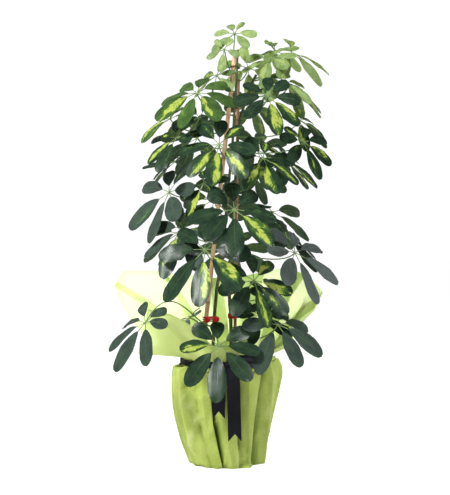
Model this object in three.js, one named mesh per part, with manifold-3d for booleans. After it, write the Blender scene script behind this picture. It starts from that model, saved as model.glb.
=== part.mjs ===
// Potted umbrella plant, in millimetres, +Z up, the front towards -Y, standing on z = 0.
// Two stems tied to two bamboo canes carry palmate fronds. The nursery pot stands inside one sheet
// of paper, which is pleated round it, tied at the neck with a ribbon and flared out as a collar.
import * as THREE from 'three';
import { mergeVertices } from 'three/addons/utils/BufferGeometryUtils.js';
import Module from 'manifold-3d';

const wasm = await Module();
wasm.setup();

// ---- Driving dimensions ----
const GAP = 0.4; // left between pieces that touch

const POT = { base: 1.8, baseRadius: 56, top: 172, topRadius: 78, lip: 2.5, lipDepth: 12, wall: 2 };
const SOIL = { top: 150, edgeDrop: 4, edgeIn: 8 }; // its surface falls off a little towards the pot
const HOLE = { slack: 0.3, below: 1, above: 12 }; // how much wider and longer the holes in the soil are cut

const STEMS = {
  a: {
    radius: [3.7, 2.2],
    points: [[-30, -8, 102], [-30, -8, 150], [-25, -8, 282], [-20, -8, 336], [-6, -6, 434],
      [4, -4, 551], [10, -2, 610], [17, 0, 720], [21, 0, 808]],
  },
  b: {
    radius: [3.9, 2.6],
    points: [[10, 12, 102], [10, 12, 150], [7, 12, 286], [4, 12, 336], [9, 12, 414],
      [15, 12, 512], [19, 12, 610], [26, 10, 672], [38, 8, 711], [50, 6, 742], [57, 5, 756]],
  },
};
const STEM_STEP = 36; // height between the rings of a stem

const CANES = {
  cane_left: { foot: [-60, -18, 104], head: [16, -20, 800], radius: 4.3, joints: 5, colour: 0xc4986a },
  cane_right: { foot: [14, 27, 104], head: [22, 24, 750], radius: 3.4, joints: 4, colour: 0x9a7350 },
};
const CANE_JOINT = { swell: 0.7, height: 5 };

const TIES = [
  { name: 'tie_red_left', stem: 'a', cane: 'cane_left', z: 280, height: 11, colour: 0xc81c22 },
  { name: 'tie_red_right', stem: 'b', cane: 'cane_right', z: 285, height: 11, colour: 0xc81c22 },
  { name: 'tie_dark_lower', stem: 'a', cane: 'cane_left', z: 690, height: 4, colour: 0x2a2c28 },
  { name: 'tie_dark_upper', stem: 'a', cane: 'cane_left', z: 768, height: 4, colour: 0x2a2c28 },
];
const TIE = { wall: 1.3, slack: 1.3 };

// One row for each fold line of the wrap, in order round it. Angles are in degrees from the front,
// growing towards the right. push moves the fold out or in.
// top, bottom: its angle at the shoulder and at the foot. edge: angle, radius and height of the
// collar's edge above it.
const FOLDS = [
  { top: -72, bottom: -57, push: 4, edge: [-70, 179, 216] },
  { top: -58, bottom: -46, push: -7, edge: [-58, 174, 306] },
  { top: -47, bottom: -33, push: 2, edge: [-44, 152, 298] },
  { top: -36, bottom: -25, push: -4, edge: [-33, 130, 276] },
  { top: -26, bottom: -14, push: 4, edge: [-23, 114, 252] },
  { top: -18, bottom: -6, push: -9, edge: [-12, 104, 238] },
  { top: -2, bottom: 8, push: 1, edge: [0, 99, 230] },
  { top: 12, bottom: 20, push: -3, edge: [14, 102, 231] },
  { top: 24, bottom: 36, push: 5, edge: [28, 108, 234] },
  { top: 43, bottom: 56, push: -14, edge: [44, 118, 228] },
  { top: 54, bottom: 78, push: 5, edge: [56, 127, 228] },
  { top: 72, bottom: 92, push: -5, edge: [71, 148, 268] },
  { top: 88, bottom: 104, push: 3, edge: [83, 168, 297] },
  { top: 104, bottom: 118, push: -6, edge: [95, 188, 332] },
  { top: 120, bottom: 132, push: 4, edge: [112, 181, 358] },
  { top: 134, bottom: 144, push: -8, edge: [133, 168, 376] },
  { top: 150, bottom: 158, push: 4, edge: [152, 148, 366] },
  { top: 165, bottom: 171, push: -6, edge: [168, 136, 352] },
  { top: 180, bottom: 184, push: 3, edge: [182, 136, 356] },
  { top: 195, bottom: 199, push: -7, edge: [196, 142, 350] },
  { top: 211, bottom: 216, push: 4, edge: [210, 151, 360] },
  { top: 225, bottom: 231, push: -6, edge: [229, 184, 368] },
  { top: 240, bottom: 248, push: 4, edge: [246, 232, 370] },
  { top: 254, bottom: 264, push: -6, edge: [253, 235, 340] },
  { top: 266, bottom: 276, push: 3, edge: [260, 205, 296] },
  { top: 277, bottom: 289, push: -4, edge: [276, 146, 232] },
];
// The wrap's rows from the foot up to the neck: height, radius, and how much of push counts there.
const SKIRT = [
  { z: 0, radius: 71, push: 0.8 },
  { z: 5, radius: 73.5, push: 0.9 },
  { z: 45, radius: 84, push: 1 },
  { z: 90, radius: 94.5, push: 1 },
  { z: 135, radius: 102, push: 1 },
  { z: 172, radius: 106, push: 0.9 },
  { z: 187, radius: 104, push: 0.7 },
  { z: 191, radius: 99, push: 0.2 },
  { z: 187, radius: 87, push: 0.12 },
  { z: 206, radius: 85, push: 0.12 },
];
const CROWN = { row: 7, lift: 12, angle: 68, power: 6 }; // that row stands higher at the front right
const SHOULDER = 172; // height where the fold lines have reached their top angles
const COLLAR_ROWS = [0.34, 0.68, 1]; // shares of the way from the neck to the collar's edge
const COLLAR_BEND = [0.3, 0.6]; // where the middle of that way lies, outwards and upwards
const BELLY = 6; // how far the wrap's belly leans to the left
const WRAP_THICKNESS = 1.2;
const UNDERSIDE = { meet: [9, 6], inset: 0.99 }; // where the folds meet under the pot

const RIBBON = { inner: 88.8, wall: 1.2, bottom: 193.5, top: 205, thickness: 1.4 };
const KNOT = { radius: 9, shape: [1.2, 0.5, 1], at: [-2, -93.5, 199] };
const LOOP = { radius: 17, shape: [1, 0.16, 0.45], tilt: 22, turn: 12, at: [17, -94, 203] };
// The way that both tails hang in side view, as distance in front of the axis and height, and the
// notch in their ends.
const TAIL_DROP = [[95, 200], [105, 199], [112, 190], [114, 160], [113, 110]];
const NOTCH = { height: 14, room: 10 };
// Each tail's left and right edge at its top and at its end, the height of its end, and how far it
// stands off that path.
const TAILS = [
  { top: [-24, 1], bottom: [-27, -4], end: 102, lift: 0 },
  { top: [-4, 20], bottom: [2, 27], end: 60, lift: 1.2 },
];

const LEAFLET = {
  stalk: 0.24, // share of a leaflet's length that is its own small stalk
  halfWidth: 0.265, // of the blade's length
  stalkRadius: 1,
  rib: 0.6, // how far the midrib's ridge stands above the middle of the blade
  hang: 1.2, // how far the edges of the blade hang below its middle
  // share of the blade's length, and the share of its full half width there
  outline: [[0, 0.07], [0.27, 0.8], [0.64, 1], [1, 0.44]],
};
// out, in: how far a petiole runs straight from its stem and into its hub, as a share of its length.
// swing, dip: how far its start turns round the stem and slides down it with each try for a clear way.
const PETIOLE = {
  radius: 1.5, sides: 3, rings: 5, out: 0.3, viaOut: 0.4, in: 0.32, swing: 0.16, dip: 2, free: 3.5,
};
const HUB_RADIUS = 4.2;

// How leaflets are drawn round a hub. Each draw may stray by loose, which grows with every try.
const WHORL = {
  count: 7, // leaflets of a frond, unless its row says otherwise
  droop: 0.27, // how far a leaflet's tip sags, as a share of its length
  lessDroopUpwards: 0.08,
  open: 82, // degrees between a leaflet and the way that its frond faces
  length: 0.88, // share of the frond's size at the side of the hub
  longerBelow: 0.1,
  lengthStray: 0.05,
  rollStray: 0.3,
  loose: 0.12,
  looser: 0.05,
  tries: 18,
  shrinkAfter: 9, // tries
  shrink: 0.88,
};
// The room kept round sample points of each kind, so that no piece runs through another.
const CLEAR = { blade: 4.6, stalk: 2.2, petiole: 2.6, hub: 4.5, paper: 5.5, cane: 2, stem: 1.6, tie: 1 };

// from: height where the petiole leaves its stem. hub: where the leaflets meet. face: compass angle
// from the front and lift above level that the rosette looks along. size: longest leaflet.
const FRONDS = [
  { name: 'centre_4', stem: 'b', from: 452, hub: [13, -130, 490], face: [5, 35], size: 92, count: 8 },
  { name: 'centre_5', stem: 'a', from: 385, hub: [-41, -122, 416], face: [-15, 30], size: 100, count: 8 },
  { name: 'centre_6', stem: 'b', from: 330, hub: [50, -104, 358], face: [20, 30], size: 82, count: 8 },
  { name: 'low_front', stem: 'a', from: 256, hub: [-16, -150, 241], face: [0, 38], size: 87, count: 8,
    via: [-24, -100, 276] },
  { name: 'right_0', stem: 'b', from: 668, hub: [77, -90, 702], face: [15, 35], size: 74, count: 8 },
  { name: 'centre_2', stem: 'a', from: 585, hub: [-15, -110, 611], face: [-5, 30], size: 82, count: 8 },
  { name: 'left_1', stem: 'a', from: 688, hub: [-57, -55, 713], face: [-20, 52], size: 88, count: 8,
    droop: 0.36 },
  { name: 'low_right_b', stem: 'b', from: 240, hub: [94, -112, 277], face: [28, 45], size: 88, droop: 0.38 },
  { name: 'low_left', stem: 'a', from: 268, hub: [-151, -130, 282], face: [-50, 42], size: 80,
    via: [-100, -104, 376], droop: 0.44 },
  { name: 'centre_3', stem: 'b', from: 560, hub: [68, -82, 588], face: [25, 35], size: 78 },
  { name: 'right_2', stem: 'b', from: 604, hub: [146, -30, 622], face: [35, 35], size: 70 },
  { name: 'left_3', stem: 'a', from: 602, hub: [-95, -62, 628], face: [-35, 35], size: 72 },
  { name: 'left_5', stem: 'a', from: 512, hub: [-112, -20, 526], face: [-45, 30], size: 94 },
  { name: 'left_6', stem: 'a', from: 440, hub: [-84, -62, 455], face: [-30, 38], size: 86 },
  { name: 'right_4', stem: 'b', from: 405, hub: [131, -25, 409], face: [42, 38], size: 96 },
  { name: 'top_crown', stem: 'a', from: 796, hub: [14, -4, 834], face: [-25, 40], size: 54 },
  { name: 'top_mid', stem: 'b', from: 746, hub: [84, -6, 786], face: [-25, 48], size: 66 },
  { name: 'top_right_a', stem: 'b', from: 750, hub: [94, 26, 806], face: [120, 70], size: 62, droop: 0.42 },
  { name: 'top_right_b', stem: 'b', from: 738, hub: [126, 4, 797], face: [50, 62], size: 80, droop: 0.46 },
  { name: 'top_right_c', stem: 'b', from: 716, hub: [111, -24, 738], face: [30, 45], size: 60, droop: 0.36 },
  { name: 'top_front', stem: 'a', from: 768, hub: [-6, -34, 799], face: [-15, 20], size: 38, count: 5 },
  { name: 'top_back', stem: 'a', from: 742, hub: [42, 48, 774], face: [170, 45], size: 62, count: 6,
    droop: 0.36 },
  { name: 'top_left', stem: 'a', from: 722, hub: [-20, -12, 752], face: [-60, 45], size: 64 },
  { name: 'left_1b', stem: 'a', from: 650, hub: [-54, 50, 676], face: [-140, 45], size: 72, count: 6 },
  { name: 'left_2', stem: 'a', from: 640, hub: [-110, -14, 668], face: [-50, 55], size: 68, droop: 0.4 },
  { name: 'right_1', stem: 'b', from: 704, hub: [122, 22, 736], face: [60, 60], size: 78, droop: 0.42 },
  { name: 'right_1b', stem: 'b', from: 664, hub: [50, 56, 700], face: [160, 45], size: 68 },
  { name: 'right_2b', stem: 'b', from: 636, hub: [144, 36, 670], face: [55, 55], size: 68, droop: 0.38 },
  { name: 'right_3', stem: 'b', from: 568, hub: [113, 32, 591], face: [50, 48], size: 74, droop: 0.36 },
  { name: 'right_3b', stem: 'b', from: 540, hub: [52, 66, 566], face: [150, 45], size: 74, count: 6 },
  { name: 'left_4', stem: 'a', from: 560, hub: [-101, 34, 589], face: [-70, 45], size: 76, droop: 0.36 },
  { name: 'left_7', stem: 'a', from: 500, hub: [-44, -64, 541], face: [-30, 40], size: 68 },
  { name: 'right_4b', stem: 'b', from: 426, hub: [121, 44, 437], face: [60, 45], size: 78 },
  { name: 'right_6b', stem: 'b', from: 310, hub: [84, 24, 330], face: [45, 45], size: 66 },
  { name: 'low_left_b', stem: 'a', from: 246, hub: [-72, -24, 283], face: [-80, 60], size: 48, count: 6,
    via: [-46, 10, 274] },
  { name: 'low_right_a', stem: 'b', from: 262, hub: [64, -60, 288], face: [30, 45], size: 72 },
  { name: 'back_1', stem: 'a', from: 612, hub: [-60, 104, 640], face: [-150, 40], size: 84 },
  { name: 'back_2', stem: 'b', from: 585, hub: [62, 120, 618], face: [155, 40], size: 84 },
  { name: 'back_3', stem: 'a', from: 480, hub: [-26, 124, 516], face: [-170, 40], size: 88 },
  { name: 'back_4', stem: 'b', from: 452, hub: [92, 108, 490], face: [140, 40], size: 86 },
  { name: 'back_5', stem: 'a', from: 412, hub: [-98, 88, 446], face: [-130, 40], size: 86 },
  { name: 'back_6', stem: 'b', from: 370, hub: [16, 116, 412], face: [178, 45], size: 84 },
];
const YOUNG = /^top/; // the fronds at the top are young and pale

// ---- Small helpers ----
const vec = (list) => new THREE.Vector3(...list);
const rad = THREE.MathUtils.degToRad;
const UP = vec([0, 0, 1]);

let drawn = 0;
function startDraws(number) {
  drawn = number;
  for (let i = 0; i < 4; i += 1) draw(0, 1);
}
function draw(low, high) {
  drawn = (Math.imul(drawn, 1664525) + 1013904223) >>> 0;
  return low + ((high - low) * drawn) / 4294967296;
}

/** A point at a compass angle from the front, growing towards the right. */
function polar(degrees, radius, z) {
  return new THREE.Vector3(radius * Math.sin(rad(degrees)), -radius * Math.cos(rad(degrees)), z);
}

function facing([compass, lift]) {
  return polar(compass, Math.cos(rad(lift)), Math.sin(rad(lift)));
}

/** A closed skin over rings of equally many points, with a flat face at each end. */
function loft(rings) {
  const sides = rings[0].length;
  const last = (rings.length - 1) * sides;
  const faces = [];
  for (let i = 0; i + 1 < rings.length; i += 1) {
    for (let j = 0; j < sides; j += 1) {
      const [a, b] = [i * sides + j, i * sides + ((j + 1) % sides)];
      faces.push([a, b, b + sides], [a, b + sides, a + sides]);
    }
  }
  for (let j = 1; j + 1 < sides; j += 1) {
    faces.push([0, j + 1, j], [last, last + j, last + j + 1]);
  }
  return skin(rings.flat(), faces);
}

/** A geometry from points and faces, turned inside out if its faces point inwards. */
function skin(points, faces) {
  let volume = 0;
  const cross = new THREE.Vector3();
  for (const [a, b, c] of faces) volume += points[a].dot(cross.crossVectors(points[b], points[c]));
  const geometry = new THREE.BufferGeometry().setFromPoints(points);
  geometry.setIndex(faces.flatMap(([a, b, c]) => (volume < 0 ? [a, c, b] : [a, b, c])));
  return geometry;
}

function toSolid(geometry) {
  const bare = geometry.clone();
  bare.deleteAttribute('normal');
  bare.deleteAttribute('uv');
  const merged = mergeVertices(bare, 1e-4);
  return new wasm.Manifold(new wasm.Mesh({
    numProp: 3,
    vertProperties: Float32Array.from(merged.attributes.position.array),
    triVerts: Uint32Array.from(merged.index.array),
  }));
}

function toGeometry(solid) {
  const { vertProperties, triVerts } = solid.getMesh();
  const geometry = new THREE.BufferGeometry();
  geometry.setAttribute('position', new THREE.BufferAttribute(vertProperties, 3));
  geometry.setIndex(new THREE.BufferAttribute(triVerts, 1));
  return geometry;
}

function fuse(geometries) {
  return toGeometry(geometries.map(toSolid).reduce((whole, piece) => whole.add(piece)));
}

/** A rod through points, with a radius at each. It starts square to firstWay, or else to its path. */
function rod(points, radii, sides, firstWay) {
  let side;
  const rings = points.map((point, i) => {
    const before = points[Math.max(i - 1, 0)];
    const after = points[Math.min(i + 1, points.length - 1)];
    const way = (i === 0 && firstWay) || after.clone().sub(before).normalize();
    side = side ?? (Math.abs(way.z) < 0.9 ? UP.clone() : vec([1, 0, 0]));
    side = side.clone().addScaledVector(way, -side.dot(way)).normalize();
    const across = way.clone().cross(side);
    return Array.from({ length: sides }, (_, j) => {
      const turn = (2 * Math.PI * j) / sides;
      return point.clone()
        .addScaledVector(side, radii[i] * Math.cos(turn))
        .addScaledVector(across, radii[i] * Math.sin(turn));
    });
  });
  return loft(rings);
}

const group = new THREE.Group();
function add(name, geometry, colour, roughness) {
  geometry.computeVertexNormals();
  const mesh = new THREE.Mesh(geometry, new THREE.MeshStandardMaterial({ color: colour, roughness }));
  mesh.name = name;
  group.add(mesh);
  return mesh;
}

// ---- What is already filled, so that no leaflet or petiole runs through another piece ----
const CELL = 24;
const SPOT_STEP = 5; // between the sample points of a stem or cane
const filled = new Map();
const cellKey = (x, y, z) => `${x},${y},${z}`;
function cellOf(point) {
  return [point.x, point.y, point.z].map((value) => Math.floor(value / CELL));
}
function fill(owner, spots) {
  for (const spot of spots) {
    const key = cellKey(...cellOf(spot.point));
    if (!filled.has(key)) filled.set(key, []);
    filled.get(key).push({ ...spot, owner });
  }
}
function isClear(owner, spots) {
  for (const spot of spots) {
    const [x, y, z] = cellOf(spot.point);
    for (let i = 0; i < 27; i += 1) {
      const key = cellKey(x + (i % 3) - 1, y + (Math.floor(i / 3) % 3) - 1, z + Math.floor(i / 9) - 1);
      for (const other of filled.get(key) ?? []) {
        const room = spot.reach + other.reach;
        if (other.owner !== owner && spot.point.distanceToSquared(other.point) < room * room) return false;
      }
    }
  }
  return true;
}
function spotsAlong(points, reach) {
  return points.map((point) => ({ point, reach }));
}
function between(start, end, steps) {
  return Array.from({ length: steps + 1 }, (_, i) => start.clone().lerp(end, i / steps));
}

// ---- Wrap ----
const CELL_STEPS = 5; // sample points along each side of a patch of paper
const turnTo = (from, to, share) => from + (to - from) * share;

/** The points of one fold line, from the foot up over the shoulder to the neck and the collar's edge. */
function foldLine({ top, bottom, push, edge }) {
  const atFront = Math.max(0, Math.cos(rad(top - CROWN.angle))) ** CROWN.power;
  const line = SKIRT.map((row, j) => {
    const point = polar(
      turnTo(bottom, top, Math.min(row.z / SHOULDER, 1)),
      row.radius + push * row.push,
      row.z + (j === CROWN.row ? CROWN.lift * atFront : 0),
    );
    point.x -= BELLY * Math.sin(Math.PI * Math.min(row.z / SHOULDER, 1));
    return point;
  });
  const neck = SKIRT.at(-1);
  const [edgeAngle, edgeRadius, edgeHeight] = edge;
  for (const share of COLLAR_ROWS) {
    const [out, rise] = COLLAR_BEND.map((bend) => 2 * share * (1 - share) * bend + share * share);
    line.push(polar(
      turnTo(top, edgeAngle, share),
      turnTo(neck.radius, edgeRadius, out),
      turnTo(neck.z, edgeHeight, rise),
    ));
  }
  return line;
}

function makeWrap() {
  const outer = FOLDS.map(foldLine);
  const rows = outer[0].length;
  const count = FOLDS.length;
  const at = (i, j) => outer[(i + count) % count][Math.min(Math.max(j, 0), rows - 1)];
  const inner = outer.map((line, i) => line.map((point, j) => {
    const along = at(i + 1, j).clone().sub(at(i - 1, j));
    const up = at(i, j + 1).clone().sub(at(i, j - 1));
    const inwards = up.cross(along).normalize();
    const moved = point.clone().addScaledVector(inwards, WRAP_THICKNESS);
    if (j === 0) moved.set(point.x * UNDERSIDE.inset, point.y * UNDERSIDE.inset, WRAP_THICKNESS);
    return moved;
  }));
  const [meetX, meetY] = UNDERSIDE.meet;
  const meets = [0, WRAP_THICKNESS].map((z) => vec([meetX, meetY, z]));
  const points = [...outer.flat(), ...inner.flat(), ...meets];
  const [under, over] = [points.length - 2, points.length - 1];
  const id = (side, i, j) => side * count * rows + ((i + count) % count) * rows + j;
  const faces = [];
  const quad = (a, b, c, d) => faces.push([a, b, c], [a, c, d]);
  for (let i = 0; i < count; i += 1) {
    for (let j = 0; j + 1 < rows; j += 1) {
      quad(id(0, i, j), id(0, i + 1, j), id(0, i + 1, j + 1), id(0, i, j + 1));
      quad(id(1, i, j), id(1, i, j + 1), id(1, i + 1, j + 1), id(1, i + 1, j));
    }
    quad(id(0, i, rows - 1), id(0, i + 1, rows - 1), id(1, i + 1, rows - 1), id(1, i, rows - 1));
    faces.push([under, id(0, i + 1, 0), id(0, i, 0)], [over, id(1, i, 0), id(1, i + 1, 0)]);
  }
  for (let i = 0; i < count; i += 1) {
    for (let j = 2; j + 1 < rows; j += 1) {
      const [left, right] = [i, i + 1].map((k) => between(at(k, j), at(k, j + 1), CELL_STEPS));
      left.forEach((point, k) => fill('wrap', spotsAlong(between(point, right[k], CELL_STEPS), CLEAR.paper)));
    }
  }
  add('wrap', skin(points, faces), 0xb0c45e, 0.9);
}
makeWrap();

// ---- Ribbon: a band round the neck, a knot, a loop and two swallow-tailed ends ----
function makeTail({ top, bottom, end, lift }) {
  const above = TAIL_DROP.filter(([, z]) => z > end + NOTCH.height + NOTCH.room);
  const drop = [...above, [TAIL_DROP.at(-1)[0], end]];
  const rings = drop.map(([front, z], i) => {
    const share = i / (drop.length - 1);
    const [left, right] = [0, 1].map((side) => turnTo(top[side], bottom[side], share));
    const before = drop[Math.max(i - 1, 0)];
    const after = drop[Math.min(i + 1, drop.length - 1)];
    const way = new THREE.Vector2(after[0] - before[0], after[1] - before[1]).normalize();
    const middle = (left + right) / 2;
    const point = (x, depth, height = z) => vec([
      x,
      -(front + lift) + way.y * depth,
      height + way.x * depth,
    ]);
    const [near, far] = [-RIBBON.thickness / 2, RIBBON.thickness / 2];
    const notch = i === drop.length - 1 ? z + NOTCH.height : z;
    return [point(middle, near, notch), point(right, near), point(right, far),
      point(middle, far, notch), point(left, far), point(left, near)];
  });
  for (let i = 0; i + 1 < rings.length; i += 1) {
    for (const side of [0, 1, 5]) {
      fill('ribbon', spotsAlong(between(rings[i][side], rings[i + 1][side], CELL_STEPS), CLEAR.paper));
    }
  }
  return loft(rings);
}

function makeRibbon() {
  const outer = RIBBON.inner + RIBBON.wall;
  const band = new THREE.LatheGeometry([
    [RIBBON.inner, RIBBON.bottom], [outer, RIBBON.bottom], [outer, RIBBON.top],
    [RIBBON.inner, RIBBON.top], [RIBBON.inner, RIBBON.bottom],
  ].map(([radius, z]) => new THREE.Vector2(radius, z)), 24);
  band.rotateX(Math.PI / 2);
  const knot = new THREE.IcosahedronGeometry(KNOT.radius, 0).scale(...KNOT.shape).translate(...KNOT.at);
  const loop = new THREE.IcosahedronGeometry(LOOP.radius, 0).scale(...LOOP.shape);
  loop.rotateY(rad(LOOP.tilt)).rotateZ(rad(LOOP.turn)).translate(...LOOP.at);
  return fuse([band, knot, loop, ...TAILS.map(makeTail)]);
}
add('ribbon', makeRibbon(), 0x14141c, 0.45);

// ---- Pot and canes ----
function potOutline() {
  const { base, baseRadius, top, topRadius, lip, lipDepth, wall } = POT;
  return [
    [0, base], [baseRadius, base], [topRadius, top - lipDepth], [topRadius + lip, top - lipDepth],
    [topRadius + lip, top], [topRadius - wall, top], [baseRadius - wall, base + wall], [0, base + wall],
  ].map(([radius, z]) => new THREE.Vector2(radius, z));
}
add('nursery_pot', new THREE.LatheGeometry(potOutline(), 24).rotateX(Math.PI / 2), 0x4a3a30, 0.7);

for (const [name, { foot, head, radius, joints, colour }] of Object.entries(CANES)) {
  const way = vec(head).sub(vec(foot));
  const length = way.length();
  const outline = [[0, 0], [radius, 0]];
  for (let i = 1; i <= joints; i += 1) {
    const z = (length * (i - 0.5)) / joints;
    const half = CANE_JOINT.height / 2;
    outline.push([radius, z - half], [radius + CANE_JOINT.swell, z], [radius, z + half]);
  }
  outline.push([radius, length], [0, length]);
  const lathe = new THREE.LatheGeometry(outline.map(([r, z]) => new THREE.Vector2(r, z)), 8);
  const cane = add(name, lathe, colour, 0.6);
  cane.position.set(...foot);
  cane.quaternion.setFromUnitVectors(vec([0, 1, 0]), way.clone().normalize());
  fill(name, spotsAlong(between(vec(foot), vec(head), Math.ceil(length / SPOT_STEP)), radius + CLEAR.cane));
}

function caneAt(name, z) {
  const { foot, head } = CANES[name];
  return vec(foot).lerp(vec(head), (z - foot[2]) / (head[2] - foot[2]));
}

// ---- Stems ----
/** The ring centres of a stem, level with each given point and evenly between them. */
function stemPath({ points }) {
  const path = [vec(points[0])];
  for (let i = 0; i + 1 < points.length; i += 1) {
    const steps = Math.max(1, Math.round((points[i + 1][2] - points[i][2]) / STEM_STEP));
    path.push(...between(vec(points[i]), vec(points[i + 1]), steps).slice(1));
  }
  return path;
}

function stemRadius({ radius, points }, z) {
  const share = (z - points[0][2]) / (points.at(-1)[2] - points[0][2]);
  return turnTo(radius[0], radius[1], share);
}

/** Where the stem's middle is at a height, and which way it runs there. */
function stemAt({ points }, z) {
  const i = Math.max(1, points.findIndex((point) => point[2] >= z));
  const [low, high] = [vec(points[i - 1]), vec(points[i])];
  const way = high.clone().sub(low);
  return { point: low.clone().addScaledVector(way, (z - low.z) / way.z), way: way.normalize() };
}

for (const [name, stem] of Object.entries(STEMS)) {
  const path = stemPath(stem);
  add(`stem_${name}`, rod(path, path.map((point) => stemRadius(stem, point.z)), 8), 0x2f4a30, 0.6);
  const [bottom, top] = [path[0], path.at(-1)];
  for (let z = bottom.z; z <= top.z; z += SPOT_STEP) {
    fill(`stem_${name}`, [{ point: stemAt(stem, z).point, reach: stemRadius(stem, z) + CLEAR.stem }]);
  }
}

// ---- Soil, with a plain hole for each stem and cane ----
function makeSoil() {
  const { base, baseRadius, top, topRadius, wall } = POT;
  const slope = (topRadius - baseRadius) / (top - base);
  const radiusAt = (z) => baseRadius - wall - GAP + slope * (z - base - wall);
  const floor = base + wall + GAP;
  const edge = SOIL.top - SOIL.edgeDrop;
  const outline = [[0, floor], [radiusAt(floor), floor], [radiusAt(edge), edge],
    [radiusAt(SOIL.top) - SOIL.edgeIn, SOIL.top], [0, SOIL.top]];
  const body = new THREE.LatheGeometry(outline.map(([r, z]) => new THREE.Vector2(r, z)), 24);
  let soil = toSolid(body.rotateX(Math.PI / 2));
  const held = [
    ...Object.values(STEMS).map(({ points, radius }) => ({
      start: vec(points[0]), end: vec(points[1]), radius: radius[0],
    })),
    ...Object.keys(CANES).map((name) => ({
      start: caneAt(name, CANES[name].foot[2]), end: caneAt(name, SOIL.top), radius: CANES[name].radius,
    })),
  ];
  for (const { start, end, radius } of held) {
    const way = end.clone().sub(start).normalize();
    const path = [
      start.clone().addScaledVector(way, -GAP - HOLE.below),
      end.clone().addScaledVector(way, HOLE.above),
    ];
    const wide = radius + GAP + HOLE.slack;
    soil = soil.subtract(toSolid(rod(path, [wide, wide], 8)));
  }
  return toGeometry(soil);
}
add('soil', makeSoil(), 0x2c2018, 0.95);

// ---- Ties: a flat band round a stem and its cane ----
for (const { name, stem, cane, z, height, colour } of TIES) {
  const [from, to] = [stemAt(STEMS[stem], z).point, caneAt(cane, z)];
  const half = from.distanceTo(to) / 2;
  const hole = Math.max(CANES[cane].radius + CANE_JOINT.swell, stemRadius(STEMS[stem], z)) + TIE.slack;
  const stadium = (outline, radius) => outline
    .absarc(half, 0, radius, -Math.PI / 2, Math.PI / 2)
    .absarc(-half, 0, radius, Math.PI / 2, (3 * Math.PI) / 2);
  const shape = stadium(new THREE.Shape(), hole + TIE.wall);
  shape.holes.push(stadium(new THREE.Path(), hole));
  const band = new THREE.ExtrudeGeometry(shape, { depth: height, bevelEnabled: false, curveSegments: 3 });
  const tie = add(name, toGeometry(toSolid(band.translate(0, 0, -height / 2))), colour, 0.5);
  tie.position.copy(from).lerp(to, 0.5);
  tie.rotation.z = Math.atan2(to.y - from.y, to.x - from.x);
  fill(name, spotsAlong(between(from, to, 3), hole + TIE.wall + CLEAR.tie));
}

// ---- Fronds ----
/** The petiole's path: square out of its stem, then on to the hub along the way that the frond faces. */
function petiolePath(frond, dip, swing) {
  const stem = STEMS[frond.stem];
  const hub = vec(frond.hub);
  const from = frond.from - dip;
  const { point, way } = stemAt(stem, from);
  const goal = frond.via ? vec(frond.via) : hub;
  const out = goal.clone().sub(point);
  out.addScaledVector(way, -out.dot(way)).normalize().applyAxisAngle(way, swing);
  const start = point.addScaledVector(out, stemRadius(stem, from) + GAP);
  const length = start.distanceTo(hub);
  const first = start.clone().addScaledVector(out, (frond.via ? PETIOLE.viaOut : PETIOLE.out) * length);
  const second = frond.via ? goal : hub.clone().addScaledVector(facing(frond.face), -PETIOLE.in * length);
  return { curve: new THREE.CubicBezierCurve3(start, first, second, hub), out, length };
}

function petioleSpots({ curve, length }) {
  const steps = Math.ceil(length / SPOT_STEP) + 2;
  const points = Array.from({ length: steps }, (_, i) => curve.getPoint((i + 1) / steps));
  return spotsAlong(points.filter((point) => point.distanceTo(curve.v0) > PETIOLE.free), CLEAR.petiole);
}

function placePetiole(frond) {
  for (let i = 0; i < WHORL.tries; i += 1) {
    const sign = i % 2 ? 1 : -1;
    const petiole = petiolePath(frond, PETIOLE.dip * i, sign * Math.ceil(i / 2) * PETIOLE.swing);
    const spots = petioleSpots(petiole);
    if (isClear(`stem_${frond.stem}`, spots)) {
      fill(frond.name, spots);
      fill(frond.name, [{ point: vec(frond.hub), reach: CLEAR.hub }]);
      return petiole;
    }
  }
  throw new Error(`no room for the petiole of ${frond.name}`);
}

/** One leaflet's midrib and the two ways square to it, at a share of its length. */
function leafletFrame({ hub, way, length, droop, roll, face }, share) {
  const point = hub.clone().addScaledVector(way, length * share);
  point.z -= length * droop * share * share;
  const along = way.clone().addScaledVector(UP, -2 * droop * share).normalize();
  const side = along.clone().cross(face).normalize();
  const over = side.clone().cross(along);
  return {
    point,
    side: side.clone().multiplyScalar(Math.cos(roll)).addScaledVector(over, Math.sin(roll)),
    over: over.multiplyScalar(Math.cos(roll)).addScaledVector(side, -Math.sin(roll)),
  };
}

const STALK_SAMPLES = [0.1, 0.17];
const BLADE_SAMPLES = 8;
const ACROSS_SAMPLES = [-0.85, -0.42, 0, 0.42, 0.85];

/** How far along the leaflet a share of its blade is. */
const bladeShare = (share) => LEAFLET.stalk + (1 - LEAFLET.stalk) * share;
const bladeHalfWidth = ({ length }) => LEAFLET.halfWidth * (1 - LEAFLET.stalk) * length;

function leafletSpots(leaflet) {
  const spots = STALK_SAMPLES.map((share) => (
    { point: leafletFrame(leaflet, share).point, reach: CLEAR.stalk }
  ));
  for (let i = 0; i <= BLADE_SAMPLES; i += 1) {
    const share = i / BLADE_SAMPLES;
    const { point, side } = leafletFrame(leaflet, bladeShare(share));
    const half = bladeHalfWidth(leaflet) * Math.min(1, 0.3 + 2 * share, 0.35 + 2.4 * (1 - share));
    for (const across of ACROSS_SAMPLES) {
      spots.push({ point: point.clone().addScaledVector(side, across * half), reach: CLEAR.blade });
    }
  }
  return spots;
}

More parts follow.
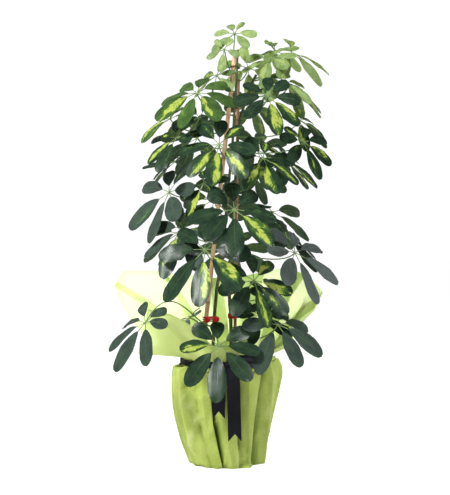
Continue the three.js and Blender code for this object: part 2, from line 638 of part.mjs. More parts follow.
/** Leaflets spread round the hub, each moved a little until it runs clear, or left out. */
function placeLeaflets(frond, number) {
  const face = facing(frond.face);
  const level = face.clone().cross(UP).normalize();
  const rise = level.clone().cross(face);
  const leaflets = [];
  const { count, droop, size, hub, name } = { count: WHORL.count, droop: WHORL.droop, ...frond };
  for (let i = 0; i < count; i += 1) {
    startDraws(number * 97 + i * 13 + 5);
    for (let tried = 0; tried < WHORL.tries; tried += 1) {
      const loose = WHORL.loose + WHORL.looser * tried;
      const turn = -Math.PI / 2 + (2 * Math.PI * i) / count + draw(-loose, loose);
      const open = rad(WHORL.open) + draw(-loose, loose);
      const way = level.clone().multiplyScalar(Math.sin(open) * Math.cos(turn))
        .addScaledVector(rise, Math.sin(open) * Math.sin(turn))
        .addScaledVector(face, Math.cos(open));
      const share = WHORL.length - WHORL.longerBelow * Math.sin(turn)
        + draw(-WHORL.lengthStray, WHORL.lengthStray);
      const sag = (loose / 2) * draw(-1, 1) - WHORL.lessDroopUpwards * Math.max(0, way.z);
      const leaflet = {
        hub: vec(hub),
        face,
        way,
        length: size * share * (tried > WHORL.shrinkAfter ? WHORL.shrink : 1),
        droop: droop + sag,
        roll: draw(-WHORL.rollStray, WHORL.rollStray),
      };
      const spots = leafletSpots(leaflet);
      if (isClear(name, spots)) {
        fill(name, spots);
        leaflets.push(leaflet);
        break;
      }
    }
  }
  return leaflets;
}

function leafletSolid(leaflet) {
  const { stalkRadius, rib, hang, outline } = LEAFLET;
  const half = bladeHalfWidth(leaflet);
  const ring = (share, halfWidth, up, down) => {
    const { point, side, over } = leafletFrame(leaflet, share);
    const spot = (across, rise) => point.clone().addScaledVector(side, across).addScaledVector(over, rise);
    return [spot(-halfWidth, -down), spot(halfWidth, -down), spot(0, up)];
  };
  const rings = [ring(0.01, stalkRadius, stalkRadius, stalkRadius / 2)];
  for (const [share, width] of outline) {
    const [up, down] = share > 0 ? [rib, hang] : [stalkRadius, stalkRadius / 2];
    rings.push(ring(bladeShare(share), half * width, up, down));
  }
  return loft(rings);
}

function frondSolid(frond, petiole, leaflets) {
  const steps = PETIOLE.rings - 1;
  const path = Array.from({ length: PETIOLE.rings }, (_, i) => petiole.curve.getPoint(i / steps));
  const stalk = rod(path, path.map(() => PETIOLE.radius), PETIOLE.sides, petiole.out);
  const hub = new THREE.OctahedronGeometry(HUB_RADIUS, 0).translate(...frond.hub);
  return fuse([hub, stalk, ...leaflets.map(leafletSolid)]);
}

const petioles = FRONDS.map(placePetiole);
FRONDS.forEach((frond, i) => {
  const leaflets = placeLeaflets(frond, i);
  const colour = YOUNG.test(frond.name) ? 0x9db862 : 0x2f4a2e;
  add(`frond_${frond.name}`, frondSolid(frond, petioles[i], leaflets), colour, 0.4);
});

export default group;
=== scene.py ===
"""The looks of a potted umbrella plant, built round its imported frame.

+Z is up and the front looks along -Y. Places that the solids' own source gives in millimetres are in
millimetres here too, and MM turns them into metres where a mesh is made.
"""
import math

import bpy
import numpy as np
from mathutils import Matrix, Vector, noise


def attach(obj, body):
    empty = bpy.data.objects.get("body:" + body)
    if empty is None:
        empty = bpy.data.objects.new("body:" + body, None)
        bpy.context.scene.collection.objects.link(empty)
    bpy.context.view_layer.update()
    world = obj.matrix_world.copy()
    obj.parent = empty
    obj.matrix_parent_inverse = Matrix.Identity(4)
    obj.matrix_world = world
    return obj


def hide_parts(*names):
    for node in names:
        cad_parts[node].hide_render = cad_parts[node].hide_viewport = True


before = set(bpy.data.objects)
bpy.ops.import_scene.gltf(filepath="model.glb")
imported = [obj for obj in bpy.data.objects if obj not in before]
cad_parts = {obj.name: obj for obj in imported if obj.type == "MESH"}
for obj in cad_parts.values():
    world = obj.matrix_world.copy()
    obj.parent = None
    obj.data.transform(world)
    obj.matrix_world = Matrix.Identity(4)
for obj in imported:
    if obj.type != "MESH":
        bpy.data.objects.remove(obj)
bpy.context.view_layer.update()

MM = 0.001
UP = np.array([0.0, 0.0, 1.0])

# ---- The dimensions that the solids are worked out from, in millimetres ----
GAP = 0.4  # between a petiole's foot and its stem, and between the soil and the pot

POT = {"base": 1.8, "base_radius": 56, "top": 172, "top_radius": 78, "lip": 2.5, "lip_depth": 12, "wall": 2}
SOIL = {"top": 150, "edge_drop": 4}

STEMS = {
    "a": {
        "radius": (3.7, 2.2),
        "points": [(-30, -8, 102), (-30, -8, 150), (-25, -8, 282), (-20, -8, 336), (-6, -6, 434),
                   (4, -4, 551), (10, -2, 610), (17, 0, 720), (21, 0, 808)],
    },
    "b": {
        "radius": (3.9, 2.6),
        "points": [(10, 12, 102), (10, 12, 150), (7, 12, 286), (4, 12, 336), (9, 12, 414), (15, 12, 512),
                   (19, 12, 610), (26, 10, 672), (38, 8, 711), (50, 6, 742), (57, 5, 756)],
    },
}
CANES = {
    "cane_left": {"foot": (-60, -18, 104), "head": (16, -20, 800), "radius": 4.3, "joints": 5},
    "cane_right": {"foot": (14, 27, 104), "head": (22, 24, 750), "radius": 3.4, "joints": 4},
}
CANE_SWELL = 0.7
TIES = [
    {"name": "tie_red_left", "stem": "a", "cane": "cane_left", "z": 280, "height": 11},
    {"name": "tie_red_right", "stem": "b", "cane": "cane_right", "z": 285, "height": 11},
    {"name": "tie_dark_lower", "stem": "a", "cane": "cane_left", "z": 690, "height": 4},
    {"name": "tie_dark_upper", "stem": "a", "cane": "cane_left", "z": 768, "height": 4},
]
TIE = {"wall": 1.3, "slack": 1.3}

# The wrap's fold lines in order round it: angle at the shoulder, angle at the foot, how far the fold
# is pushed out or in, and the angle, radius and height of the collar's edge above it.
FOLDS = [
    (-72, -57, 4, (-70, 179, 216)), (-58, -46, -7, (-58, 174, 306)), (-47, -33, 2, (-44, 152, 298)),
    (-36, -25, -4, (-33, 130, 276)), (-26, -14, 4, (-23, 114, 252)), (-18, -6, -9, (-12, 104, 238)),
    (-2, 8, 1, (0, 99, 230)), (12, 20, -3, (14, 102, 231)), (24, 36, 5, (28, 108, 234)),
    (43, 56, -14, (44, 118, 228)), (54, 78, 5, (56, 127, 228)), (72, 92, -5, (71, 148, 268)),
    (88, 104, 3, (83, 168, 297)), (104, 118, -6, (95, 188, 332)), (120, 132, 4, (112, 181, 358)),
    (134, 144, -8, (133, 168, 376)), (150, 158, 4, (152, 148, 366)), (165, 171, -6, (168, 136, 352)),
    (180, 184, 3, (182, 136, 356)), (195, 199, -7, (196, 142, 350)), (211, 216, 4, (210, 151, 360)),
    (225, 231, -6, (229, 184, 368)), (240, 248, 4, (246, 232, 370)), (254, 264, -6, (253, 235, 340)),
    (266, 276, 3, (260, 205, 296)), (277, 289, -4, (276, 146, 232)),
]
# The wrap's rows from the foot to the neck: height, radius and how much of a fold's push counts there.
SKIRT = [
    (0, 71, 0.8), (5, 73.5, 0.9), (45, 84, 1), (90, 94.5, 1), (135, 102, 1), (172, 106, 0.9),
    (187, 104, 0.7), (191, 99, 0.2), (187, 87, 0.12), (206, 85, 0.12),
]
# The paper puffed up over the right shoulder: which row, how far, where and how narrowly.
CROWN = {"row": 7, "lift": 12, "angle": 68, "power": 6}
SHOULDER = 172
# The collar's rows, as shares of the way from the neck to its edge, and how it bends out and up there.
COLLAR_ROWS = (0.34, 0.68, 1)
COLLAR_BEND = (0.3, 0.6)
BELLY = 6  # how far the skirt leans out to the left, halfway up

# The band round the neck, how far out and how high its two ends run, and the swallow tail cut in each.
RIBBON = {"inner": 88.8, "wall": 1.2, "bottom": 193.5, "top": 205, "thickness": 1.4}
TAIL_DROP = [(95, 200), (105, 199), (112, 190), (114, 160), (113, 110)]
NOTCH = {"height": 14, "room": 10}
TAILS = [
    {"name": "left", "top": (-24, 1), "bottom": (-27, -4), "end": 102, "lift": 0},
    {"name": "right", "top": (-4, 20), "bottom": (2, 27), "end": 60, "lift": 1.2},
]

LEAFLET = {"stalk": 0.24, "half_width": 0.265}
PETIOLE = {"out": 0.3, "via_out": 0.4, "in": 0.32, "swing": 0.16, "dip": 2, "free": 3.5, "radius": 1.5}
WHORL = {"count": 7, "droop": 0.27, "less_droop_upwards": 0.08, "open": 82, "length": 0.88,
         "longer_below": 0.1, "length_stray": 0.05, "roll_stray": 0.3, "loose": 0.12, "looser": 0.05,
         "tries": 18, "shrink_after": 9, "shrink": 0.88}
# How far each thing keeps others off, and how close together the spots lie that stand for it.
CLEAR = {"blade": 4.6, "stalk": 2.2, "petiole": 2.6, "hub": 4.5, "paper": 5.5, "cane": 2, "stem": 1.6,
         "tie": 1}
SPOT_STEP = 5
CELL_STEPS = 5
# A leaflet's spots: along its stalk, in rows along its blade and across each row, and the blade's half
# width there, as (start, growth) from its base and from its tip.
SPOTS = {"stalk": (0.1, 0.17), "steps": 8, "across": (-0.85, -0.42, 0, 0.42, 0.85), "base": (0.3, 2),
         "tip": (0.35, 2.4)}

# Each frond: stem, height where its petiole leaves it, hub, the compass angle and lift that it faces,
# its longest leaflet, and what else differs.
FRONDS = {
    "centre_4": ("b", 452, (13, -130, 490), (5, 35), 92, {"count": 8}),
    "centre_5": ("a", 385, (-41, -122, 416), (-15, 30), 100, {"count": 8}),
    "centre_6": ("b", 330, (50, -104, 358), (20, 30), 82, {"count": 8}),
    "low_front": ("a", 256, (-16, -150, 241), (0, 38), 87, {"count": 8, "via": (-24, -100, 276)}),
    "right_0": ("b", 668, (77, -90, 702), (15, 35), 74, {"count": 8}),
    "centre_2": ("a", 585, (-15, -110, 611), (-5, 30), 82, {"count": 8}),
    "left_1": ("a", 688, (-57, -55, 713), (-20, 52), 88, {"count": 8, "droop": 0.36}),
    "low_right_b": ("b", 240, (94, -112, 277), (28, 45), 88, {"droop": 0.38}),
    "low_left": ("a", 268, (-151, -130, 282), (-50, 42), 80, {"via": (-100, -104, 376), "droop": 0.44}),
    "centre_3": ("b", 560, (68, -82, 588), (25, 35), 78, {}),
    "right_2": ("b", 604, (146, -30, 622), (35, 35), 70, {}),
    "left_3": ("a", 602, (-95, -62, 628), (-35, 35), 72, {}),
    "left_5": ("a", 512, (-112, -20, 526), (-45, 30), 94, {}),
    "left_6": ("a", 440, (-84, -62, 455), (-30, 38), 86, {}),
    "right_4": ("b", 405, (131, -25, 409), (42, 38), 96, {}),
    "top_crown": ("a", 796, (14, -4, 834), (-25, 40), 54, {}),
    "top_mid": ("b", 746, (84, -6, 786), (-25, 48), 66, {}),
    "top_right_a": ("b", 750, (94, 26, 806), (120, 70), 62, {"droop": 0.42}),
    "top_right_b": ("b", 738, (126, 4, 797), (50, 62), 80, {"droop": 0.46}),
    "top_right_c": ("b", 716, (111, -24, 738), (30, 45), 60, {"droop": 0.36}),
    "top_front": ("a", 768, (-6, -34, 799), (-15, 20), 38, {"count": 5}),
    "top_back": ("a", 742, (42, 48, 774), (170, 45), 62, {"count": 6, "droop": 0.36}),
    "top_left": ("a", 722, (-20, -12, 752), (-60, 45), 64, {}),
    "left_1b": ("a", 650, (-54, 50, 676), (-140, 45), 72, {"count": 6}),
    "left_2": ("a", 640, (-110, -14, 668), (-50, 55), 68, {"droop": 0.4}),
    "right_1": ("b", 704, (122, 22, 736), (60, 60), 78, {"droop": 0.42}),
    "right_1b": ("b", 664, (50, 56, 700), (160, 45), 68, {}),
    "right_2b": ("b", 636, (144, 36, 670), (55, 55), 68, {"droop": 0.38}),
    "right_3": ("b", 568, (113, 32, 591), (50, 48), 74, {"droop": 0.36}),
    "right_3b": ("b", 540, (52, 66, 566), (150, 45), 74, {"count": 6}),
    "left_4": ("a", 560, (-101, 34, 589), (-70, 45), 76, {"droop": 0.36}),
    "left_7": ("a", 500, (-44, -64, 541), (-30, 40), 68, {}),
    "right_4b": ("b", 426, (121, 44, 437), (60, 45), 78, {}),
    "right_6b": ("b", 310, (84, 24, 330), (45, 45), 66, {}),
    "low_left_b": ("a", 246, (-72, -24, 283), (-80, 60), 48, {"count": 6, "via": (-46, 10, 274)}),
    "low_right_a": ("b", 262, (64, -60, 288), (30, 45), 72, {}),
    "back_1": ("a", 612, (-60, 104, 640), (-150, 40), 84, {}),
    "back_2": ("b", 585, (62, 120, 618), (155, 40), 84, {}),
    "back_3": ("a", 480, (-26, 124, 516), (-170, 40), 88, {}),
    "back_4": ("b", 452, (92, 108, 490), (140, 40), 86, {}),
    "back_5": ("a", 412, (-98, 88, 446), (-130, 40), 86, {}),
    "back_6": ("b", 370, (16, 116, 412), (178, 45), 84, {}),
}
# How yellow each leaflet is, counted from the lowest one and on round the hub by the left. The others
# of its frond are plain, or a little splashed where it stands high on the plant.
SPLASHES = {
    "centre_4": {7: 0.5, 6: 0.15, 1: 0.1},
    "centre_5": {0: 0.45, 7: 0.35, 1: 0.05, 2: 0, 3: 0, 4: 0, 5: 0, 6: 0},
    "centre_6": {6: 0.5, 0: 0.4, 7: 0.2, 5: 0.4},
    "low_front": {2: 0.5, 0: 0.02, 1: 0, 3: 0, 4: 0, 5: 0, 6: 0, 7: 0.02},
    "right_0": {0: 0.65, 7: 0.4, 1: 0.05, 2: 0, 3: 0, 4: 0, 5: 0, 6: 0.1},
    "centre_2": {0: 0.55, 7: 0.3, 1: 0.4, 2: 0.15},
    "left_1": {0: 0.2, 1: 0.55, 7: 0.25, 2: 0.12, 3: 0.05, 4: 0.1, 5: 0.1, 6: 0.1},
    "centre_3": {0: 0.5, 6: 0.35, 1: 0.4},
    "right_1": {0: 0.7, 1: 0.6, 6: 0.4},
    "right_1b": {0: 0.5, 3: 0.6},
    "left_7": {0: 0.75, 6: 0.35},
    "left_3": {1: 0.5},
    "left_2": {0: 0.3, 1: 0.4, 2: 0.3},
    "right_2b": {1: 0.5, 6: 0.3},
    "right_2": {0: 0.2},
    "left_5": {0: 0.1},
    "left_6": {0: 0.3, 5: 0.2},
    "top_left": {0: 0.6, 1: 0.5, 2: 0.4},
}
SPLASH_DRAWS = {"low": 380, "high": 800, "most": 0.5}  # heights of the hub where splashes begin and peak
# How young each frond is, where it isn't full-grown: fresh green up to about a half, and then paler.
YOUTH = {
    "top_crown": 0.85, "top_mid": 0.9, "top_right_a": 0.8, "top_right_b": 0.85, "top_right_c": 0.75,
    "top_front": 0.75, "top_back": 0.85, "top_left": 0.6, "left_1": 0.36, "right_1": 0.42, "left_2": 0.36,
    "left_1b": 0.4, "right_1b": 0.4, "right_2b": 0.2,
}
# How strong the painted grey sheen is on the fronds that stand out to the side, a painted reflection of the
# white room.
PAINTED_SHEEN = {"right_4": 1, "low_left": 0.25, "low_left_b": 0.8, "left_5": 0.35, "left_6": 0.3,
          "low_right_b": 0.3}


# ---- Where everything lies, by the same rule and draws as the solids ----
def vec(place):
    return np.array(place, float)


def unit(way):
    return way / np.linalg.norm(way)


def turn_to(start, end, share):
    return start + (end - start) * share


def polar(degrees, radius, z):
    """A point at a compass angle from the front, growing towards the right."""
    turn = math.radians(degrees)
    return vec((radius * math.sin(turn), -radius * math.cos(turn), z))


def facing(compass, lift):
    return polar(compass, math.cos(math.radians(lift)), math.sin(math.radians(lift)))


def between(start, end, steps):
    return [turn_to(start, end, i / steps) for i in range(steps + 1)]


def turned(way, axis, angle):
    """A direction turned about a unit axis."""
    along = axis * np.dot(axis, way) * (1 - math.cos(angle))
    return way * math.cos(angle) + np.cross(axis, way) * math.sin(angle) + along


class Draws:
    """The solids' own seeded draws."""

    def __init__(self, number):
        self.drawn = number
        for _ in range(4):
            self.draw(0, 1)

    def draw(self, low, high):
        self.drawn = (self.drawn * 1664525 + 1013904223) % 2**32
        return low + ((high - low) * self.drawn) / 2**32


class Room:
    """What is already filled, so that no leaflet or petiole runs through another piece."""

    def __init__(self):
        self.owners = []
        self.chunks = []
        self.lows = []
        self.highs = []

    def fill(self, owner, points, reaches):
        points = np.array(points, float)
        reaches = np.broadcast_to(np.array(reaches, float), len(points))
        self.owners.append(owner)
        self.chunks.append((points, reaches))
        self.lows.append((points - reaches[:, None]).min(0))
        self.highs.append((points + reaches[:, None]).max(0))

    def is_clear(self, owner, points, reaches):
        points = np.array(points, float)
        reaches = np.broadcast_to(np.array(reaches, float), len(points))
        low = (points - reaches[:, None]).min(0)
        high = (points + reaches[:, None]).max(0)
        near = (np.array(self.lows) < high).all(1) & (np.array(self.highs) > low).all(1)
        for i in np.flatnonzero(near):
            if self.owners[i] == owner:
                continue
            others, their_reaches = self.chunks[i]
            apart = ((points[:, None] - others[None]) ** 2).sum(2)
            if (apart < (reaches[:, None] + their_reaches[None]) ** 2).any():
                return False
        return True


ROOM = Room()


def fold_line(top, bottom, push, edge):
    """One fold line of the wrap, from the foot over the shoulder to the neck and the collar's edge."""
    at_front = max(0, math.cos(math.radians(top - CROWN["angle"]))) ** CROWN["power"]
    line = []
    for j, (z, radius, pushed) in enumerate(SKIRT):
        share = min(z / SHOULDER, 1)
        lift = CROWN["lift"] * at_front if j == CROWN["row"] else 0
        point = polar(turn_to(bottom, top, share), radius + push * pushed, z + lift)
        point[0] -= BELLY * math.sin(math.pi * share)
        line.append(point)
    neck_z, neck_radius = SKIRT[-1][:2]
    edge_angle, edge_radius, edge_height = edge
    for share in COLLAR_ROWS:
        out, rise = [2 * share * (1 - share) * bend + share * share for bend in COLLAR_BEND]
        line.append(polar(turn_to(top, edge_angle, share), turn_to(neck_radius, edge_radius, out),
                          turn_to(neck_z, edge_height, rise)))
    return line


WRAP_LINES = np.array([fold_line(*fold) for fold in FOLDS])


def fill_wrap():
    count, rows = WRAP_LINES.shape[:2]
    for i in range(count):
        for j in range(2, rows - 1):
            left, right = [between(WRAP_LINES[k % count][j], WRAP_LINES[k % count][j + 1], CELL_STEPS)
                           for k in (i, i + 1)]
            spots = [spot for a, b in zip(left, right) for spot in between(a, b, CELL_STEPS)]
            ROOM.fill("wrap", spots, CLEAR["paper"])


def tail_drop(tail):
    """How far out and how high one ribbon end runs, from the neck down to its own end."""
    above = [row for row in TAIL_DROP if row[1] > tail["end"] + NOTCH["height"] + NOTCH["room"]]
    return [*above, (TAIL_DROP[-1][0], tail["end"])]


def tail_sides(tail, share):
    """Where the left and the right edge of a ribbon end are, at a share of its length."""
    return [turn_to(tail["top"][side], tail["bottom"][side], share) for side in (0, 1)]


def tail_rings(tail):
    """The near face of one ribbon end, ring by ring: its middle, its right and its left edge."""
    drop = tail_drop(tail)
    rings = []
    for i, (front, z) in enumerate(drop):
        left, right = tail_sides(tail, i / (len(drop) - 1))
        before, after = drop[max(i - 1, 0)], drop[min(i + 1, len(drop) - 1)]
        way = unit(vec(after) - vec(before))
        near = -RIBBON["thickness"] / 2
        notched = z + NOTCH["height"] if i == len(drop) - 1 else z
        corners = ((left + right) / 2, notched), (right, z), (left, z)
        rings.append([vec((x, -(front + tail["lift"]) + way[1] * near, height + way[0] * near))
                      for x, height in corners])
    return rings


def fill_ribbon():
    for tail in TAILS:
        rings = tail_rings(tail)
        for upper, lower in zip(rings, rings[1:]):
            for a, b in zip(upper, lower):
                ROOM.fill("ribbon", between(a, b, CELL_STEPS), CLEAR["paper"])


def stem_radius(stem, z):
    low, high = stem["points"][0][2], stem["points"][-1][2]
    return turn_to(*stem["radius"], (z - low) / (high - low))


def stem_at(stem, z):
    """Where the stem's middle is at a height, and which way it runs there."""
    i = max(1, next(k for k, point in enumerate(stem["points"]) if point[2] >= z))
    low, high = vec(stem["points"][i - 1]), vec(stem["points"][i])
    way = high - low
    return low + way * (z - low[2]) / way[2], unit(way)


def cane_at(name, z):
    foot, head = vec(CANES[name]["foot"]), vec(CANES[name]["head"])
    return turn_to(foot, head, (z - foot[2]) / (head[2] - foot[2]))


def tie_hole(tie):
    wide = max(CANES[tie["cane"]]["radius"] + CANE_SWELL, stem_radius(STEMS[tie["stem"]], tie["z"]))
    return wide + TIE["slack"]


def fill_supports():
    for name, cane in CANES.items():
        foot, head = vec(cane["foot"]), vec(cane["head"])
        steps = math.ceil(np.linalg.norm(head - foot) / SPOT_STEP)
        ROOM.fill(name, between(foot, head, steps), cane["radius"] + CLEAR["cane"])
    for name, stem in STEMS.items():
        heights = np.arange(stem["points"][0][2], stem["points"][-1][2] + 1e-9, SPOT_STEP)
        ROOM.fill(f"stem_{name}", [stem_at(stem, z)[0] for z in heights],
                  [stem_radius(stem, z) + CLEAR["stem"] for z in heights])
    for tie in TIES:
        start, end = stem_at(STEMS[tie["stem"]], tie["z"])[0], cane_at(tie["cane"], tie["z"])
        ROOM.fill(tie["name"], between(start, end, 3), tie_hole(tie) + TIE["wall"] + CLEAR["tie"])


def bezier(points, share):
    a, b, c, d = points
    rest = 1 - share
    return rest**3 * a + 3 * rest * rest * share * b + 3 * rest * share * share * c + share**3 * d


def petiole_path(frond, dip, swing):
    """The petiole's curve: square out of its stem, then on to the hub along the way that it faces."""
    stem_name, height, hub, face, _, extra = frond
    stem, hub = STEMS[stem_name], vec(hub)
    point, way = stem_at(stem, height - dip)
    goal = vec(extra["via"]) if "via" in extra else hub
    out = goal - point
    out = turned(unit(out - way * np.dot(out, way)), way, swing)
    start = point + out * (stem_radius(stem, height - dip) + GAP)
    length = np.linalg.norm(hub - start)
    first = start + out * (PETIOLE["via_out"] if "via" in extra else PETIOLE["out"]) * length
    second = goal if "via" in extra else hub - facing(*face) * PETIOLE["in"] * length
    return (start, first, second, hub), length


def place_petiole(name, frond):
    for i in range(WHORL["tries"]):
        sign = 1 if i % 2 else -1
        path, length = petiole_path(frond, PETIOLE["dip"] * i, sign * math.ceil(i / 2) * PETIOLE["swing"])
        steps = math.ceil(length / SPOT_STEP) + 2
        points = [bezier(path, (k + 1) / steps) for k in range(steps)]
        spots = [point for point in points if np.linalg.norm(point - path[0]) > PETIOLE["free"]]
        if ROOM.is_clear(f"stem_{frond[0]}", spots, CLEAR["petiole"]):
            ROOM.fill(name, spots, CLEAR["petiole"])
            ROOM.fill(name, [frond[2]], CLEAR["hub"])
            return path
    raise RuntimeError(f"no room for the petiole of {name}")


def leaflet_frame(leaflet, share):
    """One leaflet's midrib and the two ways square to it, at a share of its length."""
    drop = leaflet["length"] * leaflet["droop"] * share * share
    point = leaflet["hub"] + leaflet["way"] * leaflet["length"] * share - UP * drop
    along = unit(leaflet["way"] - UP * 2 * leaflet["droop"] * share)
    side = unit(np.cross(along, leaflet["face"]))
    over = np.cross(side, along)
    cos, sin = math.cos(leaflet["roll"]), math.sin(leaflet["roll"])
    return point, side * cos + over * sin, over * cos - side * sin


def blade_share(share):
    return LEAFLET["stalk"] + (1 - LEAFLET["stalk"]) * share


def blade_half_width(leaflet):
    return LEAFLET["half_width"] * (1 - LEAFLET["stalk"]) * leaflet["length"]


def leaflet_spots(leaflet):
    points = [leaflet_frame(leaflet, share)[0] for share in SPOTS["stalk"]]
    reaches = [CLEAR["stalk"]] * len(points)
    (base, from_base), (tip, from_tip) = SPOTS["base"], SPOTS["tip"]
    for i in range(SPOTS["steps"] + 1):
        share = i / SPOTS["steps"]
        point, side, _ = leaflet_frame(leaflet, blade_share(share))
        half = blade_half_width(leaflet) * min(1, base + from_base * share, tip + from_tip * (1 - share))
        points += [point + side * across * half for across in SPOTS["across"]]
        reaches += [CLEAR["blade"]] * len(SPOTS["across"])
    return points, reaches


def place_leaflets(name, frond, number):
    """Leaflets spread round the hub, each moved a little until it runs clear, or left out."""
    hub, face, size, extra = vec(frond[2]), facing(*frond[3]), frond[4], frond[5]
    level = unit(np.cross(face, UP))
    rise = np.cross(level, face)
    count, droop = extra.get("count", WHORL["count"]), extra.get("droop", WHORL["droop"])
    leaflets = []
    for i in range(count):
        draws = Draws(number * 97 + i * 13 + 5)
        for tried in range(WHORL["tries"]):
            loose = WHORL["loose"] + WHORL["looser"] * tried
            turn = -math.pi / 2 + (2 * math.pi * i) / count + draws.draw(-loose, loose)
            opened = math.radians(WHORL["open"]) + draws.draw(-loose, loose)
            way = (level * math.sin(opened) * math.cos(turn) + rise * math.sin(opened) * math.sin(turn)
                   + face * math.cos(opened))
            share = WHORL["length"] - WHORL["longer_below"] * math.sin(turn)
            share += draws.draw(-WHORL["length_stray"], WHORL["length_stray"])
            sag = (loose / 2) * draws.draw(-1, 1) - WHORL["less_droop_upwards"] * max(0, way[2])
            leaflet = {
                "hub": hub, "face": face, "way": way, "number": i, "seed": number * 10 + i,
                "length": size * share * (WHORL["shrink"] if tried > WHORL["shrink_after"] else 1),
                "droop": droop + sag,
                "roll": draws.draw(-WHORL["roll_stray"], WHORL["roll_stray"]),
            }
            spots = leaflet_spots(leaflet)
            if ROOM.is_clear(name, *spots):
                ROOM.fill(name, *spots)
                leaflets.append(leaflet)
                break
    return leaflets


# ---- Helpers for making pieces ----
def pick(*pieces):
    """Selects only these pieces, the first one active."""
    for other in bpy.context.selected_objects:
        other.select_set(False)
    for piece in pieces:
        piece.select_set(True)
    bpy.context.view_layer.objects.active = pieces[0]


def settle(piece):
    """Moves a piece's place into its mesh, so that its object sits at the origin."""
    pick(piece)
    bpy.ops.object.transform_apply(location=True, rotation=True, scale=True)
    return piece


def modify(piece, kind, **settings):
    """Adds one modifier and applies it."""
    pick(piece)
    modifier = piece.modifiers.new(kind.title(), kind)
    for key, value in settings.items():
        setattr(modifier, key, value)
    bpy.ops.object.modifier_apply(modifier=modifier.name)
    return piece


def merge_doubles(piece, distance):
    """Makes one point of those that lie together, as along a seam."""
    pick(piece)
    bpy.ops.object.mode_set(mode="EDIT")
    bpy.ops.mesh.select_all(action="SELECT")
    bpy.ops.mesh.remove_doubles(threshold=distance * MM)
    bpy.ops.object.mode_set(mode="OBJECT")


def joined(pieces, name):
    """One piece of several, or a single one, under its own name."""
    pick(*pieces)
    if len(pieces) > 1:
        bpy.ops.object.join()
    pieces[0].name = pieces[0].data.name = name
    return pieces[0]


def smooth(piece, degrees=None):
    pick(piece)
    if degrees is None:
        bpy.ops.object.shade_smooth()
    else:
        bpy.ops.object.shade_smooth_by_angle(angle=math.radians(degrees))
    return piece


def points_of(piece):
    """A mesh's points as an array of millimetres."""
    flat = np.zeros(len(piece.data.vertices) * 3)
    piece.data.vertices.foreach_get("co", flat)
    return flat.reshape(-1, 3) / MM


def put_points(piece, points):
    piece.data.vertices.foreach_set("co", (np.asarray(points) * MM).ravel())
    piece.data.update()


def sheet_grid(name, across, along):
    """A flat grid to be moved into shape, and the grid place of each of its points. UV runs 0 to 1."""
    bpy.ops.mesh.primitive_grid_add(x_subdivisions=across, y_subdivisions=along, size=2, calc_uvs=True)
    piece = joined([bpy.context.active_object], name)
    places = points_of(piece)[:, :2] * MM
    places = (places + 1) / 2 * np.array([across, along])
    return piece, np.rint(places).astype(int)


def tube(name, paths, sides):
    """A mesh of round rods. Each path is a list of (point, radius), and its ends are closed."""
    curve = bpy.data.curves.new(name, "CURVE")
    curve.dimensions = "3D"
    curve.bevel_depth = MM
    curve.bevel_resolution = max(0, (sides - 4) // 2)
    curve.use_fill_caps = True
    for path in paths:
        spline = curve.splines.new("POLY")
        spline.points.add(len(path) - 1)
        for spot, (point, radius) in zip(spline.points, path):
            spot.co = (*(np.asarray(point) * MM), 1)
            spot.radius = radius
    piece = bpy.data.objects.new(name, curve)
    bpy.context.collection.objects.link(piece)
    pick(piece)
    bpy.ops.object.convert(target="MESH")
    return bpy.context.active_object


def turned_piece(name, stations, sides=48):
    """A round piece: a circle drawn out and widened from station to station of (radius, z)."""
    radius, z = stations[0]
    bpy.ops.mesh.primitive_circle_add(vertices=sides, radius=radius * MM, location=(0, 0, z * MM),
                                      fill_type="NGON")
    piece = settle(joined([bpy.context.active_object], name))
    bpy.ops.object.mode_set(mode="EDIT")
    for next_radius, next_z in stations[1:]:
        bpy.ops.mesh.extrude_region_move(TRANSFORM_OT_translate={"value": (0, 0, (next_z - z) * MM)})
        wider = next_radius / radius
        bpy.ops.transform.resize(value=(wider, wider, 1), center_override=(0, 0, next_z * MM))
        radius, z = next_radius, next_z
    bpy.ops.mesh.select_all(action="SELECT")
    bpy.ops.mesh.normals_make_consistent(inside=False)
    bpy.ops.object.mode_set(mode="OBJECT")
    return piece


def tell(piece, **values):
    """Writes values onto a mesh's points, one for all or one for each, for its material to read."""
    count = len(piece.data.vertices)
    for key, value in values.items():
        told = piece.data.attributes.new(key, "FLOAT", "POINT")
        told.data.foreach_set("value", np.broadcast_to(value, count).astype(np.float32))


def wear(piece, *materials):
    """Puts the materials on a piece, in slot order."""
    piece.data.materials.clear()
    for material in materials:
        piece.data.materials.append(material)


def hand_over(piece, slot, *nodes):
    """Lets a finished piece stand for its solids and move with the plant's only body."""
    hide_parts(*nodes)
    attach(piece, "root")


# ---- Materials ----
def paint(red, green, blue):
    """A colour as it is seen on a screen, 0 to 255, turned into the light that it stands for."""
    light = [((c / 255 + 0.055) / 1.055) ** 2.4 if c > 10 else c / 255 / 12.92 for c in (red, green, blue)]
    return (*light, 1)


def paints(*colours):
    return [paint(*colour) for colour in colours]


